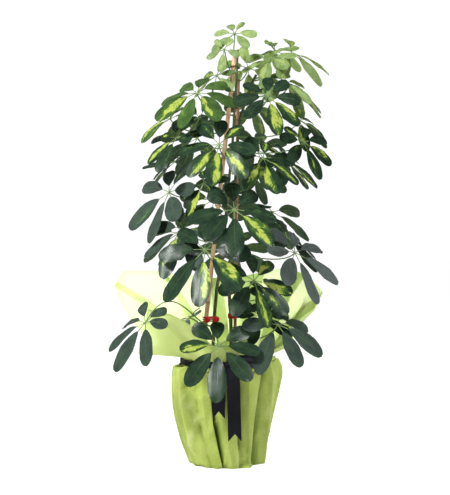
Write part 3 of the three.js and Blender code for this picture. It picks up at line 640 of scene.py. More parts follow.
class Wires:
    """Puts shader nodes into one tree and joins them up."""

    def __init__(self, tree):
        self.tree = tree

    def put(self, socket, value):
        if isinstance(value, bpy.types.NodeSocket):
            self.tree.links.new(value, socket)
        else:
            socket.default_value = value

    def node(self, kind, inputs=None, **settings):
        made = self.tree.nodes.new(kind)
        for key, value in settings.items():
            setattr(made, key, value)
        for key, value in (inputs or {}).items():
            self.put(made.inputs[key], value)
        return made

    def maths(self, operation, *values):
        return self.node("ShaderNodeMath", dict(enumerate(values)), operation=operation).outputs[0]

    def plus(self, first, second):
        return self.maths("ADD", first, second)

    def minus(self, first, second):
        return self.maths("SUBTRACT", first, second)

    def times(self, first, second):
        return self.maths("MULTIPLY", first, second)

    def size_of(self, value):
        return self.maths("ABSOLUTE", value)

    def place_at(self, x, y, z):
        return self.node("ShaderNodeCombineXYZ", {0: x, 1: y, 2: z}).outputs[0]

    def blend(self, share, first, second, how="MIX"):
        inputs = {0: share, 6: first, 7: second}
        return self.node("ShaderNodeMix", inputs, data_type="RGBA", blend_type=how).outputs[2]

    def step(self, value, low, high, start=0.0, end=1.0):
        inputs = {0: value, 1: low, 2: high, 3: start, 4: end}
        return self.node("ShaderNodeMapRange", inputs, interpolation_type="SMOOTHSTEP").outputs[0]

    def noise(self, place, scale, detail=2.0, rough=0.5):
        inputs = {"Vector": place, "Scale": scale, "Detail": detail, "Roughness": rough}
        return self.node("ShaderNodeTexNoise", inputs).outputs[0]

    def stretch(self, place, scale):
        made = self.node("ShaderNodeVectorMath", {0: place, 1: scale}, operation="MULTIPLY")
        return made.outputs[0]

    def here(self):
        """The place on the piece itself."""
        return self.node("ShaderNodeTexCoord").outputs["Object"]

    def uv(self):
        return self.node("ShaderNodeUVMap", uv_map="UVMap").outputs[0]

    def told(self, name):
        """A value that the mesh carries."""
        return self.node("ShaderNodeAttribute", attribute_name=name).outputs["Fac"]

    def bump(self, height, distance, strength=1.0):
        inputs = {"Height": height, "Distance": distance, "Strength": strength}
        return self.node("ShaderNodeBump", inputs).outputs[0]


def effect(name, inputs, outputs):
    """An empty node group with named inputs and outputs."""
    group = bpy.data.node_groups.new(name, "ShaderNodeTree")
    for key, kind in inputs.items():
        group.interface.new_socket(key, in_out="INPUT", socket_type=f"NodeSocket{kind}")
    for key, kind in outputs.items():
        group.interface.new_socket(key, in_out="OUTPUT", socket_type=f"NodeSocket{kind}")
    wires = Wires(group)
    return group, wires, wires.node("NodeGroupInput").outputs, wires.node("NodeGroupOutput").inputs


def material(name):
    made = bpy.data.materials.new(name)
    made.use_nodes = True
    wires = Wires(made.node_tree)
    return made, wires, made.node_tree.nodes["Principled BSDF"].inputs


def placed(w, group, **inputs):
    """An effect's group, put into a material with its own values."""
    made = w.node("ShaderNodeGroup", node_tree=group)
    for key, value in inputs.items():
        w.put(made.inputs[key], value)
    return made.outputs


MOTTLE_MIX = {"fine": 6.0, "coarse_share": 0.7, "fine_share": 0.3, "dark_to": 0.32, "light_from": 0.68}


def mottle_effect():
    """Soft mottling of a colour at one size."""
    group, w, given, out = effect(
        "Mottle", {"Place": "Vector", "Size": "Float", "Dark": "Color", "Light": "Color"},
        {"Colour": "Color", "Mask": "Float"})
    coarse = w.noise(given["Place"], given["Size"], 3.0)
    fine = w.noise(given["Place"], w.times(given["Size"], MOTTLE_MIX["fine"]), 3.0)
    mask = w.plus(w.times(coarse, MOTTLE_MIX["coarse_share"]), w.times(fine, MOTTLE_MIX["fine_share"]))
    mask = w.step(mask, MOTTLE_MIX["dark_to"], MOTTLE_MIX["light_from"])
    w.put(out["Colour"], w.blend(mask, given["Dark"], given["Light"]))
    w.put(out["Mask"], mask)
    return group


MOTTLE = mottle_effect()


def mottled(w, place, size, dark, light):
    made = placed(w, MOTTLE, Place=place, Size=size, Dark=dark, Light=light)
    return made["Colour"], made["Mask"]


# A blade's colours, as pairs from dark to light or single ones.
FULL_GREENS = paints((26, 42, 32), (43, 63, 44))
FRESH_GREENS = paints((50, 78, 38), (78, 107, 50))
YOUNG_GREENS = paints((130, 158, 92), (168, 190, 128))
YELLOWS = paints((108, 134, 50), (160, 173, 78))
ROUND_SPLASH, YOUNG_SPLASH = paints((64, 98, 40), (202, 212, 142))
# The first is a painted reflection: the grey sheen of the white room on the fronds that stand out to the
# side.
WHITE_ROOM_SHEEN, RIB_GREEN, VEIN_GREEN = paints((112, 120, 122), (108, 134, 78), (100, 126, 78))
GREEN_PATCHES = {"size": 1.6, "longer": 2.2}
# The splash: how far off the midrib it may lie, how much its streaks and blotches tear its edge, where
# along the blade and below which strength it dies away, and how its inside and the green round it fade.
SPLASH = {"lean": 0.24, "reach": 0.9, "streaks": 0.85, "blotches": 2.0, "tip": (0.6, 1.0, 0.5),
          "none": (0.25, 0.9), "inside": (-0.04, 0.22), "round": (-0.42, -0.02)}
STREAKS = {"slant": 0.24, "along": 17.0, "out": 1.6}
BLOTCHES = {"along": 3.0, "across": 3.2}
SEED_STEPS = {"lean": 1.7, "streaks": 3.1, "blotches": 5.3}
SIDE_VEINS = {"count": 9.0, "width": 0.1, "shows": 0.06, "sunk": -0.15}
MIDRIB = {"width": 0.04, "shows": 0.22, "sunk": -1.0}
BLADE_GLOSS = (0.2, 0.3)  # roughness


def blade_effect():
    """A variegated blade: dark green, with a feathered yellow splash round the midrib, and veins."""
    group, w, given, out = effect(
        "Blade", {"UV": "Vector", "Splash": "Float", "Youth": "Float", "Seed": "Float", "Grey": "Float"},
        {"Colour": "Color", "Height": "Float", "Roughness": "Float"})
    across, along = w.node("ShaderNodeSeparateXYZ", {0: given["UV"]}).outputs[:2]
    off = w.minus(across, 0.5)
    lean = w.times(w.maths("SINE", w.times(given["Seed"], SEED_STEPS["lean"])), SPLASH["lean"])
    from_rib = w.times(w.size_of(off), 2.0)
    from_splash = w.times(w.size_of(w.minus(off, lean)), 2.0)

    # Streaks that run from the midrib out and forward, as the side veins do
    slant = w.minus(along, w.times(from_rib, STREAKS["slant"]))
    own = w.plus(w.times(given["Seed"], SEED_STEPS["streaks"]), w.maths("SIGN", off))
    streaks = w.place_at(w.times(slant, STREAKS["along"]), w.times(from_rib, STREAKS["out"]), own)
    ragged = w.noise(streaks, 1.0, 3.0, 0.6)
    patches = w.place_at(w.times(along, BLOTCHES["along"]), w.times(off, BLOTCHES["across"]),
                         w.times(given["Seed"], SEED_STEPS["blotches"]))
    blotch = w.noise(patches, 1.0, 2.0)
    reach = w.times(given["Splash"], SPLASH["reach"])
    reach = w.plus(reach, w.times(w.minus(ragged, 0.5), SPLASH["streaks"]))
    reach = w.plus(reach, w.times(w.minus(blotch, 0.5), SPLASH["blotches"]))
    tip_from, tip_to, tip_least = SPLASH["tip"]
    reach = w.minus(reach, w.step(along, tip_from, tip_to, 0.0, tip_least))
    faint, held_back = SPLASH["none"]
    reach = w.minus(reach, w.step(given["Splash"], 0.0, faint, held_back, 0.0))
    left_over = w.minus(reach, from_splash)
    inner = w.step(left_over, *SPLASH["inside"])
    outer = w.step(left_over, *SPLASH["round"])

    greens, mask = mottled_in(w, given["UV"], given["Seed"])
    fresh = w.blend(mask, *FRESH_GREENS)
    greens = w.blend(w.step(given["Youth"], 0.0, 0.5), greens, fresh)
    green = w.blend(w.times(outer, 0.8), greens, ROUND_SPLASH)
    yellow = w.blend(w.step(ragged, 0.28, 0.55), *YELLOWS)
    colour = w.blend(inner, green, yellow)
    young = w.blend(mask, *YOUNG_GREENS)
    young = w.blend(w.times(inner, 0.4), young, YOUNG_SPLASH)
    colour = w.blend(w.step(given["Youth"], 0.35, 0.9), colour, young)
    # Painted reflection: a grey sheen of the white room over the fronds that stand out to the side.
    colour = w.blend(w.times(given["Grey"], 0.42), colour, WHITE_ROOM_SHEEN)

    # The midrib thins out towards the tip, and the side veins fade towards the edge
    rib = w.step(w.size_of(off), 0.0, MIDRIB["width"], 1.0, 0.0)
    rib = w.times(rib, w.step(along, 0.2, 1.0, 1.0, 0.15))
    vein = w.size_of(w.minus(w.maths("FRACT", w.times(slant, SIDE_VEINS["count"])), 0.5))
    vein = w.step(vein, 0.0, SIDE_VEINS["width"], 1.0, 0.0)
    vein = w.times(vein, w.step(from_rib, 0.6, 1.0, 1.0, 0.0))
    colour = w.blend(w.times(rib, MIDRIB["shows"]), colour, RIB_GREEN)
    colour = w.blend(w.times(vein, SIDE_VEINS["shows"]), colour, VEIN_GREEN)
    w.put(out["Colour"], colour)
    height = w.plus(w.times(rib, MIDRIB["sunk"]), w.times(vein, SIDE_VEINS["sunk"]))
    w.put(out["Height"], w.plus(height, w.times(blotch, 0.7)))
    w.put(out["Roughness"], w.step(blotch, 0.3, 0.7, *BLADE_GLOSS))
    return group


def mottled_in(w, uv, seed):
    """A full-grown blade's greens, unlike on each leaflet."""
    across, along = w.node("ShaderNodeSeparateXYZ", {0: uv}).outputs[:2]
    place = w.place_at(across, w.times(along, GREEN_PATCHES["longer"]), seed)
    return mottled(w, place, GREEN_PATCHES["size"], *FULL_GREENS)


BLADE = blade_effect()


def leaf_colours(w):
    told = {key.title(): w.told(key) for key in ("splash", "youth", "seed", "grey")}
    return placed(w, BLADE, UV=w.uv(), **told)


def dress(w, skin, colour, roughness, height, deep, strength, specular=None):
    """Wires up a shader: its colour, its roughness and the bumps that its height makes."""
    w.put(skin["Base Color"], colour)
    w.put(skin["Roughness"], roughness)
    w.put(skin["Normal"], w.bump(height, deep, strength))
    if specular is not None:
        skin["Specular IOR Level"].default_value = specular


def let_light_through(made, w, share, colour):
    """Mixes some light from behind into a thin material."""
    through = w.node("ShaderNodeBsdfTranslucent", {"Color": colour})
    front = made.node_tree.nodes["Principled BSDF"].outputs[0]
    mixed = w.node("ShaderNodeMixShader", {0: share, 1: front, 2: through.outputs[0]})
    w.put(made.node_tree.nodes["Material Output"].inputs["Surface"], mixed.outputs[0])


def leaf_material(name, light_through):
    made, w, skin = material(name)
    looks = leaf_colours(w)
    dress(w, skin, looks["Colour"], looks["Roughness"], looks["Height"], 0.0004, 0.3, specular=0.15)
    let_light_through(made, w, light_through, looks["Colour"])
    return made


def leaf_underside(name, under):
    """The duller, paler back of a blade, where the veins stand out."""
    made, w, skin = material(name)
    looks = leaf_colours(w)
    colour = w.blend(0.4, looks["Colour"], under)
    dress(w, skin, colour, 0.55, looks["Height"], -0.0006, 0.8, specular=0.2)
    return made


def stalk_material(name, dark, light):
    made, w, skin = material(name)
    colour, mask = mottled(w, w.stretch(w.here(), (1, 1, 0.4)), 160.0, dark, light)
    dress(w, skin, colour, 0.42, mask, 0.0003, 0.5)
    return made


def bark_material():
    """Green young wood with grey scars and fine lengthwise cracks."""
    made, w, skin = material("stem_bark")
    colour = mottled(w, w.here(), 70.0, *paints((50, 66, 38), (92, 104, 62)))[0]
    rings = w.noise(w.stretch(w.here(), (12, 12, 90)), 1.0, 3.0)
    colour = w.blend(w.step(rings, 0.56, 0.7, 0.0, 0.6), colour, paint(116, 108, 84))
    cracks = w.noise(w.stretch(w.here(), (900, 900, 60)), 1.0, 2.0)
    dress(w, skin, colour, 0.7, w.plus(cracks, w.times(rings, 0.8)), 0.0008, 0.7)
    return made


def bamboo_material(name, dark, light, burnt):
    """Cane skin: fine lengthwise fibres, blotches, and a dark ring at each joint."""
    made, w, skin = material(name)
    fibres = w.noise(w.stretch(w.here(), (1400, 1400, 24)), 1.0, 3.0)
    colour, mask = mottled(w, w.stretch(w.here(), (1, 1, 0.3)), 60.0, dark, light)
    colour = w.blend(w.step(fibres, 0.4, 0.75, 0.0, 0.35), colour, burnt)
    colour = w.blend(w.told("joint"), colour, burnt)
    dress(w, skin, colour, w.step(mask, 0.0, 1.0, 0.5, 0.36), fibres, 0.0003, 0.5)
    return made


LIMES = paints((176, 198, 92), (200, 218, 118))
FIBRE, TUFT, SPECK = paints((214, 226, 140), (132, 156, 54), (110, 128, 46))
# The middle one is painted light: the collar's pale glow where light comes through it from behind.
AIRY, BACKLIT_PALE, CUT_EDGE = paints((244, 252, 168), (242, 250, 206), (200, 226, 96))
# The second and third are a painted highlight along the paper's ridges and a painted shade in its pleats;
# the last is the colour of the light let through.
RIDGE_HIGHLIGHT, PLEAT_SHADE, LIT_THROUGH = paints((228, 238, 164), (132, 144, 104), (244, 252, 228))
OPEN_FACE, AIRY_FACE = paints((229, 227, 220), (255, 255, 255))


def paper_material(name, light_through, airy):
    """Lime non-woven paper: pressed fibres in a fine mottle, with a few specks.

    It is painted paler along its ridges, as a painted highlight, and darker in the pleats, as a painted
    shade.
    Where it is airy, it is paler all over, light comes through between its fibres, and its cut edge is a
    clearer green.
    """
    made, w, skin = material(name)
    place = w.here()
    colour = mottled(w, place, 30.0, *LIMES)[0]
    fibres = w.noise(w.stretch(place, (620, 620, 240)), 1.0, 4.0, 0.7)
    tufts = w.noise(place, 230.0, 4.0, 0.7)
    colour = w.blend(w.step(fibres, 0.48, 0.72, 0.0, 0.5), colour, FIBRE)
    colour = w.blend(w.step(tufts, 0.52, 0.7, 0.0, 0.35), colour, TUFT)
    specks = w.node("ShaderNodeTexVoronoi", {"Vector": place, "Scale": 60.0}).outputs["Distance"]
    colour = w.blend(w.step(specks, 0.04, 0.11, 0.3, 0.0), colour, SPECK)
    if airy:
        behind = w.told("behind")
        colour = w.blend(0.9, colour, AIRY)
        # Painted light: paler towards the back, as if lit through from behind.
        colour = w.blend(w.times(behind, 0.8), colour, BACKLIT_PALE)
        colour = w.blend(w.times(w.told("edge"), 0.6), colour, CUT_EDGE)
        between_fibres = w.step(fibres, 0.35, 0.7, airy, airy / 2)
        thin = w.times(between_fibres, w.step(behind, 0, 1, 0.3))
        w.put(skin["Alpha"], w.minus(1.0, thin))
    # Painted light: paler along ridges and crease tops as a painted highlight, darker in pleats and crease
    # hollows as a painted shade.
    relief = w.told("relief")
    colour = w.blend(w.step(relief, 0.05, 0.9, 0.0, 0.6), colour, RIDGE_HIGHLIGHT)
    shaded = w.blend(w.step(relief, -0.9, -0.1, 0.85, 0.0), AIRY_FACE if airy else OPEN_FACE, PLEAT_SHADE)
    colour = w.blend(1.0, colour, shaded, "MULTIPLY")
    dress(w, skin, colour, 0.85, w.plus(fibres, w.times(tufts, 0.8)), 0.0006, 0.55, specular=0.2)
    let_light_through(made, w, light_through, w.blend(0.75, colour, LIT_THROUGH))
    return made


def satin_material():
    """Near-black navy satin, with the fine cross weave of ribbon and a soft shine."""
    made, w, skin = material("ribbon_satin")
    weave = w.node("ShaderNodeTexWave", {"Vector": w.uv(), "Scale": 60.0, "Distortion": 0.4},
                   bands_direction="Y").outputs["Fac"]
    soft = w.noise(w.here(), 90.0, 2.0)
    colour = w.blend(soft, *paints((6, 6, 12), (14, 14, 24)))
    dress(w, skin, colour, w.step(soft, 0.2, 0.8, 0.42, 0.56), weave, 0.0001, 0.35, specular=0.24)
    skin["Sheen Weight"].default_value = 0.02
    skin["Sheen Roughness"].default_value = 0.35
    return made


def plastic_material(name, dark, light, roughness):
    made, w, skin = material(name)
    colour, mask = mottled(w, w.here(), 120.0, dark, light)
    dress(w, skin, colour, w.step(mask, 0.0, 1.0, roughness, roughness + 0.12), mask, 0.0002, 0.4)
    return made


def soil_material():
    made, w, skin = material("soil")
    colour, mask = mottled(w, w.here(), 110.0, *paints((34, 24, 18), (84, 64, 46)))
    bits = w.node("ShaderNodeTexVoronoi", {"Vector": w.here(), "Scale": 240.0}).outputs["Distance"]
    colour = w.blend(w.step(bits, 0.1, 0.5, 0.5, 0.0), colour, paint(110, 88, 62))
    dress(w, skin, colour, 0.95, w.plus(mask, bits), 0.003, 0.9)
    return made


LEAF = leaf_material("leaf_face", 0.1)
LEAF_UNDER = leaf_underside("leaf_underside", paint(92, 120, 82))
YOUNG_LEAF = leaf_material("young_leaf_face", 0.38)
YOUNG_UNDER = leaf_underside("young_leaf_underside", paint(170, 196, 112))
PETIOLE_SKIN = stalk_material("petiole_skin", *paints((60, 92, 44), (104, 138, 70)))
STALKLET_SKIN = stalk_material("stalklet_skin", *paints((78, 102, 58), (124, 148, 92)))
BARK = bark_material()
BAMBOO_TAN = bamboo_material("bamboo_tan", *paints((180, 138, 100), (212, 176, 138), (120, 80, 52)))
BAMBOO_BROWN = bamboo_material("bamboo_brown", *paints((128, 88, 60), (172, 128, 92), (84, 54, 36)))
PAPER = paper_material("wrap_paper", 0.18, 0)
THIN_PAPER = paper_material("wrap_paper_thin", 0.52, 0.4)
SATIN = satin_material()
RED = plastic_material("tie_red", *paints((176, 14, 24), (214, 30, 38)), 0.35)
DARK = plastic_material("tie_dark", *paints((30, 32, 28), (50, 52, 46)), 0.4)
POT_PLASTIC = plastic_material("pot_plastic", *paints((70, 46, 36), (88, 60, 46)), 0.45)
EARTH = soil_material()


# ---- Fronds ----
BLADE_GRID = (4, 10)  # faces across and along a blade
# The blade's outline, from its base to its end, and how it folds at the rib, curls, waves and bows its tip.
BLADE_SHAPE = {"base": 0.78, "end": 0.46, "fold": 0.24, "curl": 0.26, "wave": 0.07, "ripples": (1.2, 2.2),
               "tip": 0.08, "tip_from": 0.7}
BLADE_THICKNESS = 0.7
ROUND = 6.3  # a full turn, for the blades' waves
TONE_STRAY = 0.12  # how far a leaflet's youth strays from its frond's
PETIOLE_ROD = {"steps": 14, "foot": 1.9, "radius": 1.15, "foot_steps": 4, "sunk": 1.5, "sunk_radius": 2.6}
HUB = {"radius": 2.6, "flat": 0.8}
# The stalk of a leaflet, which runs on as the rib under its blade, from and to shares of its length.
STALKLET = {"from": 0.02, "to": 0.62, "rings": 9, "radius": 0.95, "rib_end": 0.2, "under": 0.6, "sunk": 0.25}


def blade_master():
    """One flat blade, drawn to its outline, that every leaflet is a bent copy of."""
    across, along = BLADE_GRID
    piece, places = sheet_grid("blade", across, along)
    share = (1 - np.cos(np.pi * places[:, 1] / along)) / 2
    base, end = BLADE_SHAPE["base"], BLADE_SHAPE["end"]
    widest = base / (base + end)
    wide = share**base * (1 - share) ** end / (widest**base * (1 - widest) ** end)
    outline = np.column_stack([(2 * places[:, 0] / across - 1) * wide, share, 0 * share])
    put_points(piece, outline / MM)
    uvs = piece.data.uv_layers.active.data
    for loop in piece.data.loops:
        uvs[loop.index].uv[1] = share[loop.vertex_index]
    return piece, np.column_stack([2 * places[:, 0] / across - 1, share, wide])


def bent_blade(master, flat, leaflet):
    """A copy of the blade, bent along its leaflet's midrib, folded at the rib and waved at the edge."""
    piece = bpy.data.objects.new("blade_copy", master.data.copy())
    bpy.context.collection.objects.link(piece)
    half = blade_half_width(leaflet)
    waves = Draws(leaflet["seed"] + 900)
    turn, ripples = waves.draw(0, ROUND), waves.draw(*BLADE_SHAPE["ripples"])
    points = []
    for across, share, wide in flat:
        point, side, over = leaflet_frame(leaflet, blade_share(share))
        reach = across * wide
        height = BLADE_SHAPE["fold"] * abs(reach) - BLADE_SHAPE["curl"] * reach * reach
        height += BLADE_SHAPE["wave"] * reach * abs(reach) * math.sin(turn + share * ROUND * ripples)
        height -= BLADE_SHAPE["tip"] * max(0, share - BLADE_SHAPE["tip_from"]) / 0.3
        points.append(point + side * reach * half + over * height * half)
    put_points(piece, points)
    return piece


def splash_of(name, leaflet):
    """How yellow a leaflet is: as its frond's table says, or drawn and growing with the height."""
    drawn = Draws(leaflet["seed"] + 300).draw(0, 1)
    low, high = SPLASH_DRAWS["low"], SPLASH_DRAWS["high"]
    share = min(1, max(0.1, (leaflet["hub"][2] - low) / (high - low)))
    return SPLASHES.get(name, {}).get(leaflet["number"], SPLASH_DRAWS["most"] * share * drawn**1.5)


def make_blades(name, leaflets, master, flat, skins):
    youth = YOUTH.get(name, 0)
    blades = []
    for leaflet in leaflets:
        blade = bent_blade(master, flat, leaflet)
        tone = Draws(leaflet["seed"] + 60).draw(-TONE_STRAY, TONE_STRAY)
        tell(blade, splash=splash_of(name, leaflet), youth=min(1, max(0, youth + tone * youth * 2)),
             seed=leaflet["seed"] % 89 + 0.37, grey=PAINTED_SHEEN.get(name, 0))
        blades.append(blade)
    blades = joined(blades, "blades")
    wear(blades, *skins)
    merge_doubles(blades, 0.02)
    modify(blades, "SOLIDIFY", thickness=BLADE_THICKNESS * MM, offset=0, material_offset=1,
           material_offset_rim=0)
    return smooth(blades, 60)


def make_petiole(path):
    """The long stalk: thicker at its foot, which goes a little way into the stem."""
    rod, steps = PETIOLE_ROD, PETIOLE_ROD["steps"]
    line = [(path[0] - unit(path[1] - path[0]) * rod["sunk"], rod["sunk_radius"])]
    line += [(bezier(path, i / steps), turn_to(rod["foot"], rod["radius"], min(1, i / rod["foot_steps"])))
             for i in range(steps + 1)]
    petiole = smooth(tube("petiole", [line], 8))
    wear(petiole, PETIOLE_SKIN)
    return petiole


def make_stalklets(leaflets):
    """The leaflets' own stalks, which sink under the blades and run out as their ribs."""
    start, end = STALKLET["from"], blade_share(STALKLET["to"])
    lines = []
    for leaflet in leaflets:
        line = []
        for share in np.linspace(start, end, STALKLET["rings"]):
            point, _, over = leaflet_frame(leaflet, share)
            along = (share - start) / (end - start)
            radius = turn_to(STALKLET["radius"], STALKLET["rib_end"], along)
            under = radius * STALKLET["under"] + STALKLET["sunk"]
            line.append((point - over * min(1, along * 3) * under, radius))
        lines.append(line)
    stalklets = smooth(tube("stalklets", lines, 6))
    wear(stalklets, STALKLET_SKIN)
    return stalklets


def make_hub(place):
    bpy.ops.mesh.primitive_uv_sphere_add(segments=12, ring_count=8, radius=HUB["radius"] * MM,
                                         location=place * MM, scale=(1, 1, HUB["flat"]))
    hub = smooth(settle(bpy.context.active_object))
    wear(hub, STALKLET_SKIN)
    return hub


def make_frond(name, path, leaflets, master, flat):
    slot, skins = "leaf", (LEAF, LEAF_UNDER)
    if name.startswith("top"):
        slot, skins = "young_leaf", (YOUNG_LEAF, YOUNG_UNDER)
    parts = [make_blades(name, leaflets, master, flat, skins), make_petiole(path),
             make_stalklets(leaflets), make_hub(path[3])]
    hand_over(joined(parts, f"leaf_{name}"), slot, f"frond_{name}")


def make_fronds():
    fill_wrap()
    fill_ribbon()
    fill_supports()
    paths = {name: place_petiole(name, frond) for name, frond in FRONDS.items()}
    master, flat = blade_master()
    for number, (name, frond) in enumerate(FRONDS.items()):
        leaflets = place_leaflets(name, frond, number)
        make_frond(name, paths[name], leaflets, master, flat)
    bpy.data.objects.remove(master)


# ---- Stems, canes and ties ----
# The stem's rings, how high the leaf scars on it stand, how far apart and how narrow, and how it sways.
STEM_SKIN = {"step": 6, "scar": 0.35, "apart": 31, "drift": 0.02, "narrow": 8, "sway": 0.4, "slow": 0.02}
# How far each ring round a cane's joint stands out from the culm, and how far above the joint it lies.
CANE_JOINT = [(-0.12, -14), (0, -4), (0.25, -2.2), (-0.25, -1.4), (0.1, -0.8), (CANE_SWELL, 0),
              (0.45, 1.2), (0, 4), (-0.12, 14)]
CANE_END = (0.4, 0.5)  # how far in and how far along its cut ends are rounded
RING = {"reach": 2.2, "burnt": 0.75}  # the dark ring at a joint
# The tape of a tie: its own radius, how far inside the tie's hole it runs, how high one turn is, its
# steps, how it strays, and how a turn is drawn up to fill its height.
TAPE = {"radius": 0.95, "in": 0.4, "turn": 3.8, "steps": 32, "stray": 0.25, "tilt": 0.5, "corner": 8,
        "filled": 0.98, "half": 1.4}
# The twisted ends of a thick tie: two lumps, how they lean, and how far along and out they sit.
LUMP = {"size": (6.2, 4.2, 6.0), "lean": 0.3, "least_tie": 8, "along": 1, "out": 0.6}


def make_stem(name):
    stem, skin = STEMS[name], STEM_SKIN
    low, high = stem["points"][0][2], stem["points"][-1][2]
    line = []
    for z in np.arange(low, high + 0.01, skin["step"]):
        turn = z * 2 * math.pi / skin["apart"] + len(line) * skin["drift"]
        scar = skin["scar"] * max(0, math.cos(turn)) ** skin["narrow"]
        slow = z * skin["slow"]
        sway = vec((noise.noise(Vector((slow, 0, 1))), noise.noise(Vector((slow, 5, 1))), 0))
        line.append((stem_at(stem, z)[0] + skin["sway"] * sway, stem_radius(stem, z) + scar))
    piece = smooth(tube(f"stem_{name}_bark", [line], 12))
    wear(piece, BARK)
    hand_over(piece, "stem", f"stem_{name}")


def make_cane(name, skin, slot):
    """A round cane drawn up from its foot, with a ridge and a groove at each joint."""
    cane = CANES[name]
    foot, head, radius = vec(cane["foot"]), vec(cane["head"]), cane["radius"]
    length = np.linalg.norm(head - foot)
    rounded_in, rounded_up = CANE_END
    stations = [(radius - rounded_in, 0), (radius, rounded_up)]
    joints = [length * (i + 0.5) / cane["joints"] for i in range(cane["joints"])]
    for joint in joints:
        stations += [(radius + out, joint + above) for out, above in CANE_JOINT]
    stations += [(radius, length - rounded_up), (radius - rounded_in, length)]
    piece = turned_piece(name + "_culm", stations, 20)
    ringed = [max(math.exp(-((z - joint) / RING["reach"]) ** 2) for joint in joints)
              for z in points_of(piece)[:, 2]]
    tell(piece, joint=RING["burnt"] * np.array(ringed))
    way = Vector(head - foot)
    piece.rotation_mode = "QUATERNION"
    piece.rotation_quaternion = way.to_track_quat("Z", "Y")
    piece.location = foot * MM
    smooth(settle(piece), 50)
    wear(piece, skin)
    hand_over(piece, slot, name)


def make_tie(tie, skin, slot):
    """Tape wound a few times round a stem and its cane, with its ends twisted together in front."""
    start, end = stem_at(STEMS[tie["stem"]], tie["z"])[0], cane_at(tie["cane"], tie["z"])
    middle, half = (start + end) / 2, np.linalg.norm(end - start) / 2
    way = unit(end - start)
    across = unit(np.cross(UP, way))
    radius = tie_hole(tie) - TAPE["in"]
    turns = max(1, round(tie["height"] / TAPE["turn"]))
    thick = tie["height"] / turns / 2 * TAPE["filled"]
    heights = [(k - (turns - 1) / 2) * tie["height"] / turns for k in range(turns)]
    paths = []
    for k, z in enumerate(heights):
        line = []
        for i in range(TAPE["steps"] + 1):
            turn = 2 * math.pi * i / TAPE["steps"]
            reach = radius + TAPE["stray"] * math.sin(3 * turn + k * 2)
            side = 1 if math.cos(turn) > 0 else -1
            centre = half * side * min(1, abs(math.cos(turn)) * TAPE["corner"])
            spot = way * (centre + reach * math.cos(turn)) + across * reach * math.sin(turn)
            tilt = TAPE["tilt"] * math.sin(turn + k)
            line.append((middle + spot + UP * (z + tilt), TAPE["radius"]))
        paths.append(line)
    piece = tube(tie["name"] + "_turns", paths, 8)
    points = points_of(piece)
    for height in heights:
        z = middle[2] + height
        near = abs(points[:, 2] - z) <= tie["height"] / turns / 2
        points[near, 2] = z + (points[near, 2] - z) * thick / TAPE["half"]
    put_points(piece, points)
    lumps = [piece]
    if tie["height"] > LUMP["least_tie"]:
        for side in (-1, 1):
            out = across * np.sign(across[1]) * (radius + LUMP["out"])
            place = middle + way * side * (half + LUMP["along"]) - out
            bpy.ops.mesh.primitive_uv_sphere_add(segments=20, ring_count=12, radius=MM, location=place * MM,
                                                 scale=LUMP["size"], rotation=(0, side * LUMP["lean"], 0))
            lumps.append(settle(bpy.context.active_object))
    piece = smooth(joined(lumps, tie["name"] + "_turns"))
    wear(piece, skin)
    hand_over(piece, slot, tie["name"])


# ---- Pot and soil ----
POT_EDGE = {"foot": 0.8, "lip": 0.7, "rest": 0.6, "taper": 0.2}  # how far the pot's edges are rounded
POT_FLOOR = (5, 12)  # how far in from the pot's side its base is drawn, outside and inside
# The soil's bed: its rings, how many of them slope at the edge, and its coarse and fine crumble.
SOIL_BED = {"rings": 20, "edge_rings": 3, "coarse": 1.6, "fine": 1.2, "scale": 0.09, "finer": 3.1,
            "flat_to": 0.5}
CRUMBS = {"count": 90, "reach": 0.94, "radius": (1.2, 3.2), "lift": 0.3, "turn": 3, "deep": (0.6, 1),
          "high": (0.5, 0.9)}


def make_pot():
    """A plain pot, its outline turned from the base up outside, over the lip and down inside."""
    base, top, wall, outside = POT["base"], POT["top"], POT["wall"], POT["top_radius"] + POT["lip"]
    low, high, under = POT["base_radius"], POT["top_radius"], top - POT["lip_depth"]
    foot, rim, edge = POT_EDGE["foot"], POT_EDGE["lip"], POT_EDGE["rest"]
    stations = [(low - POT_FLOOR[0], base), (low - foot, base), (low, base + foot),
                (high - POT_EDGE["taper"], under - edge), (outside - edge, under), (outside, under + edge),
                (outside, top - rim), (outside - rim, top), (high - wall + edge, top),
                (high - wall, top - edge), (low - wall, base + wall + edge),
                (low - wall - edge, base + wall), (low - POT_FLOOR[1], base + wall)]
    pot = smooth(turned_piece("pot_body", stations, 72), 40)
    wear(pot, POT_PLASTIC)
    hand_over(pot, "pot_plastic", "nursery_pot")


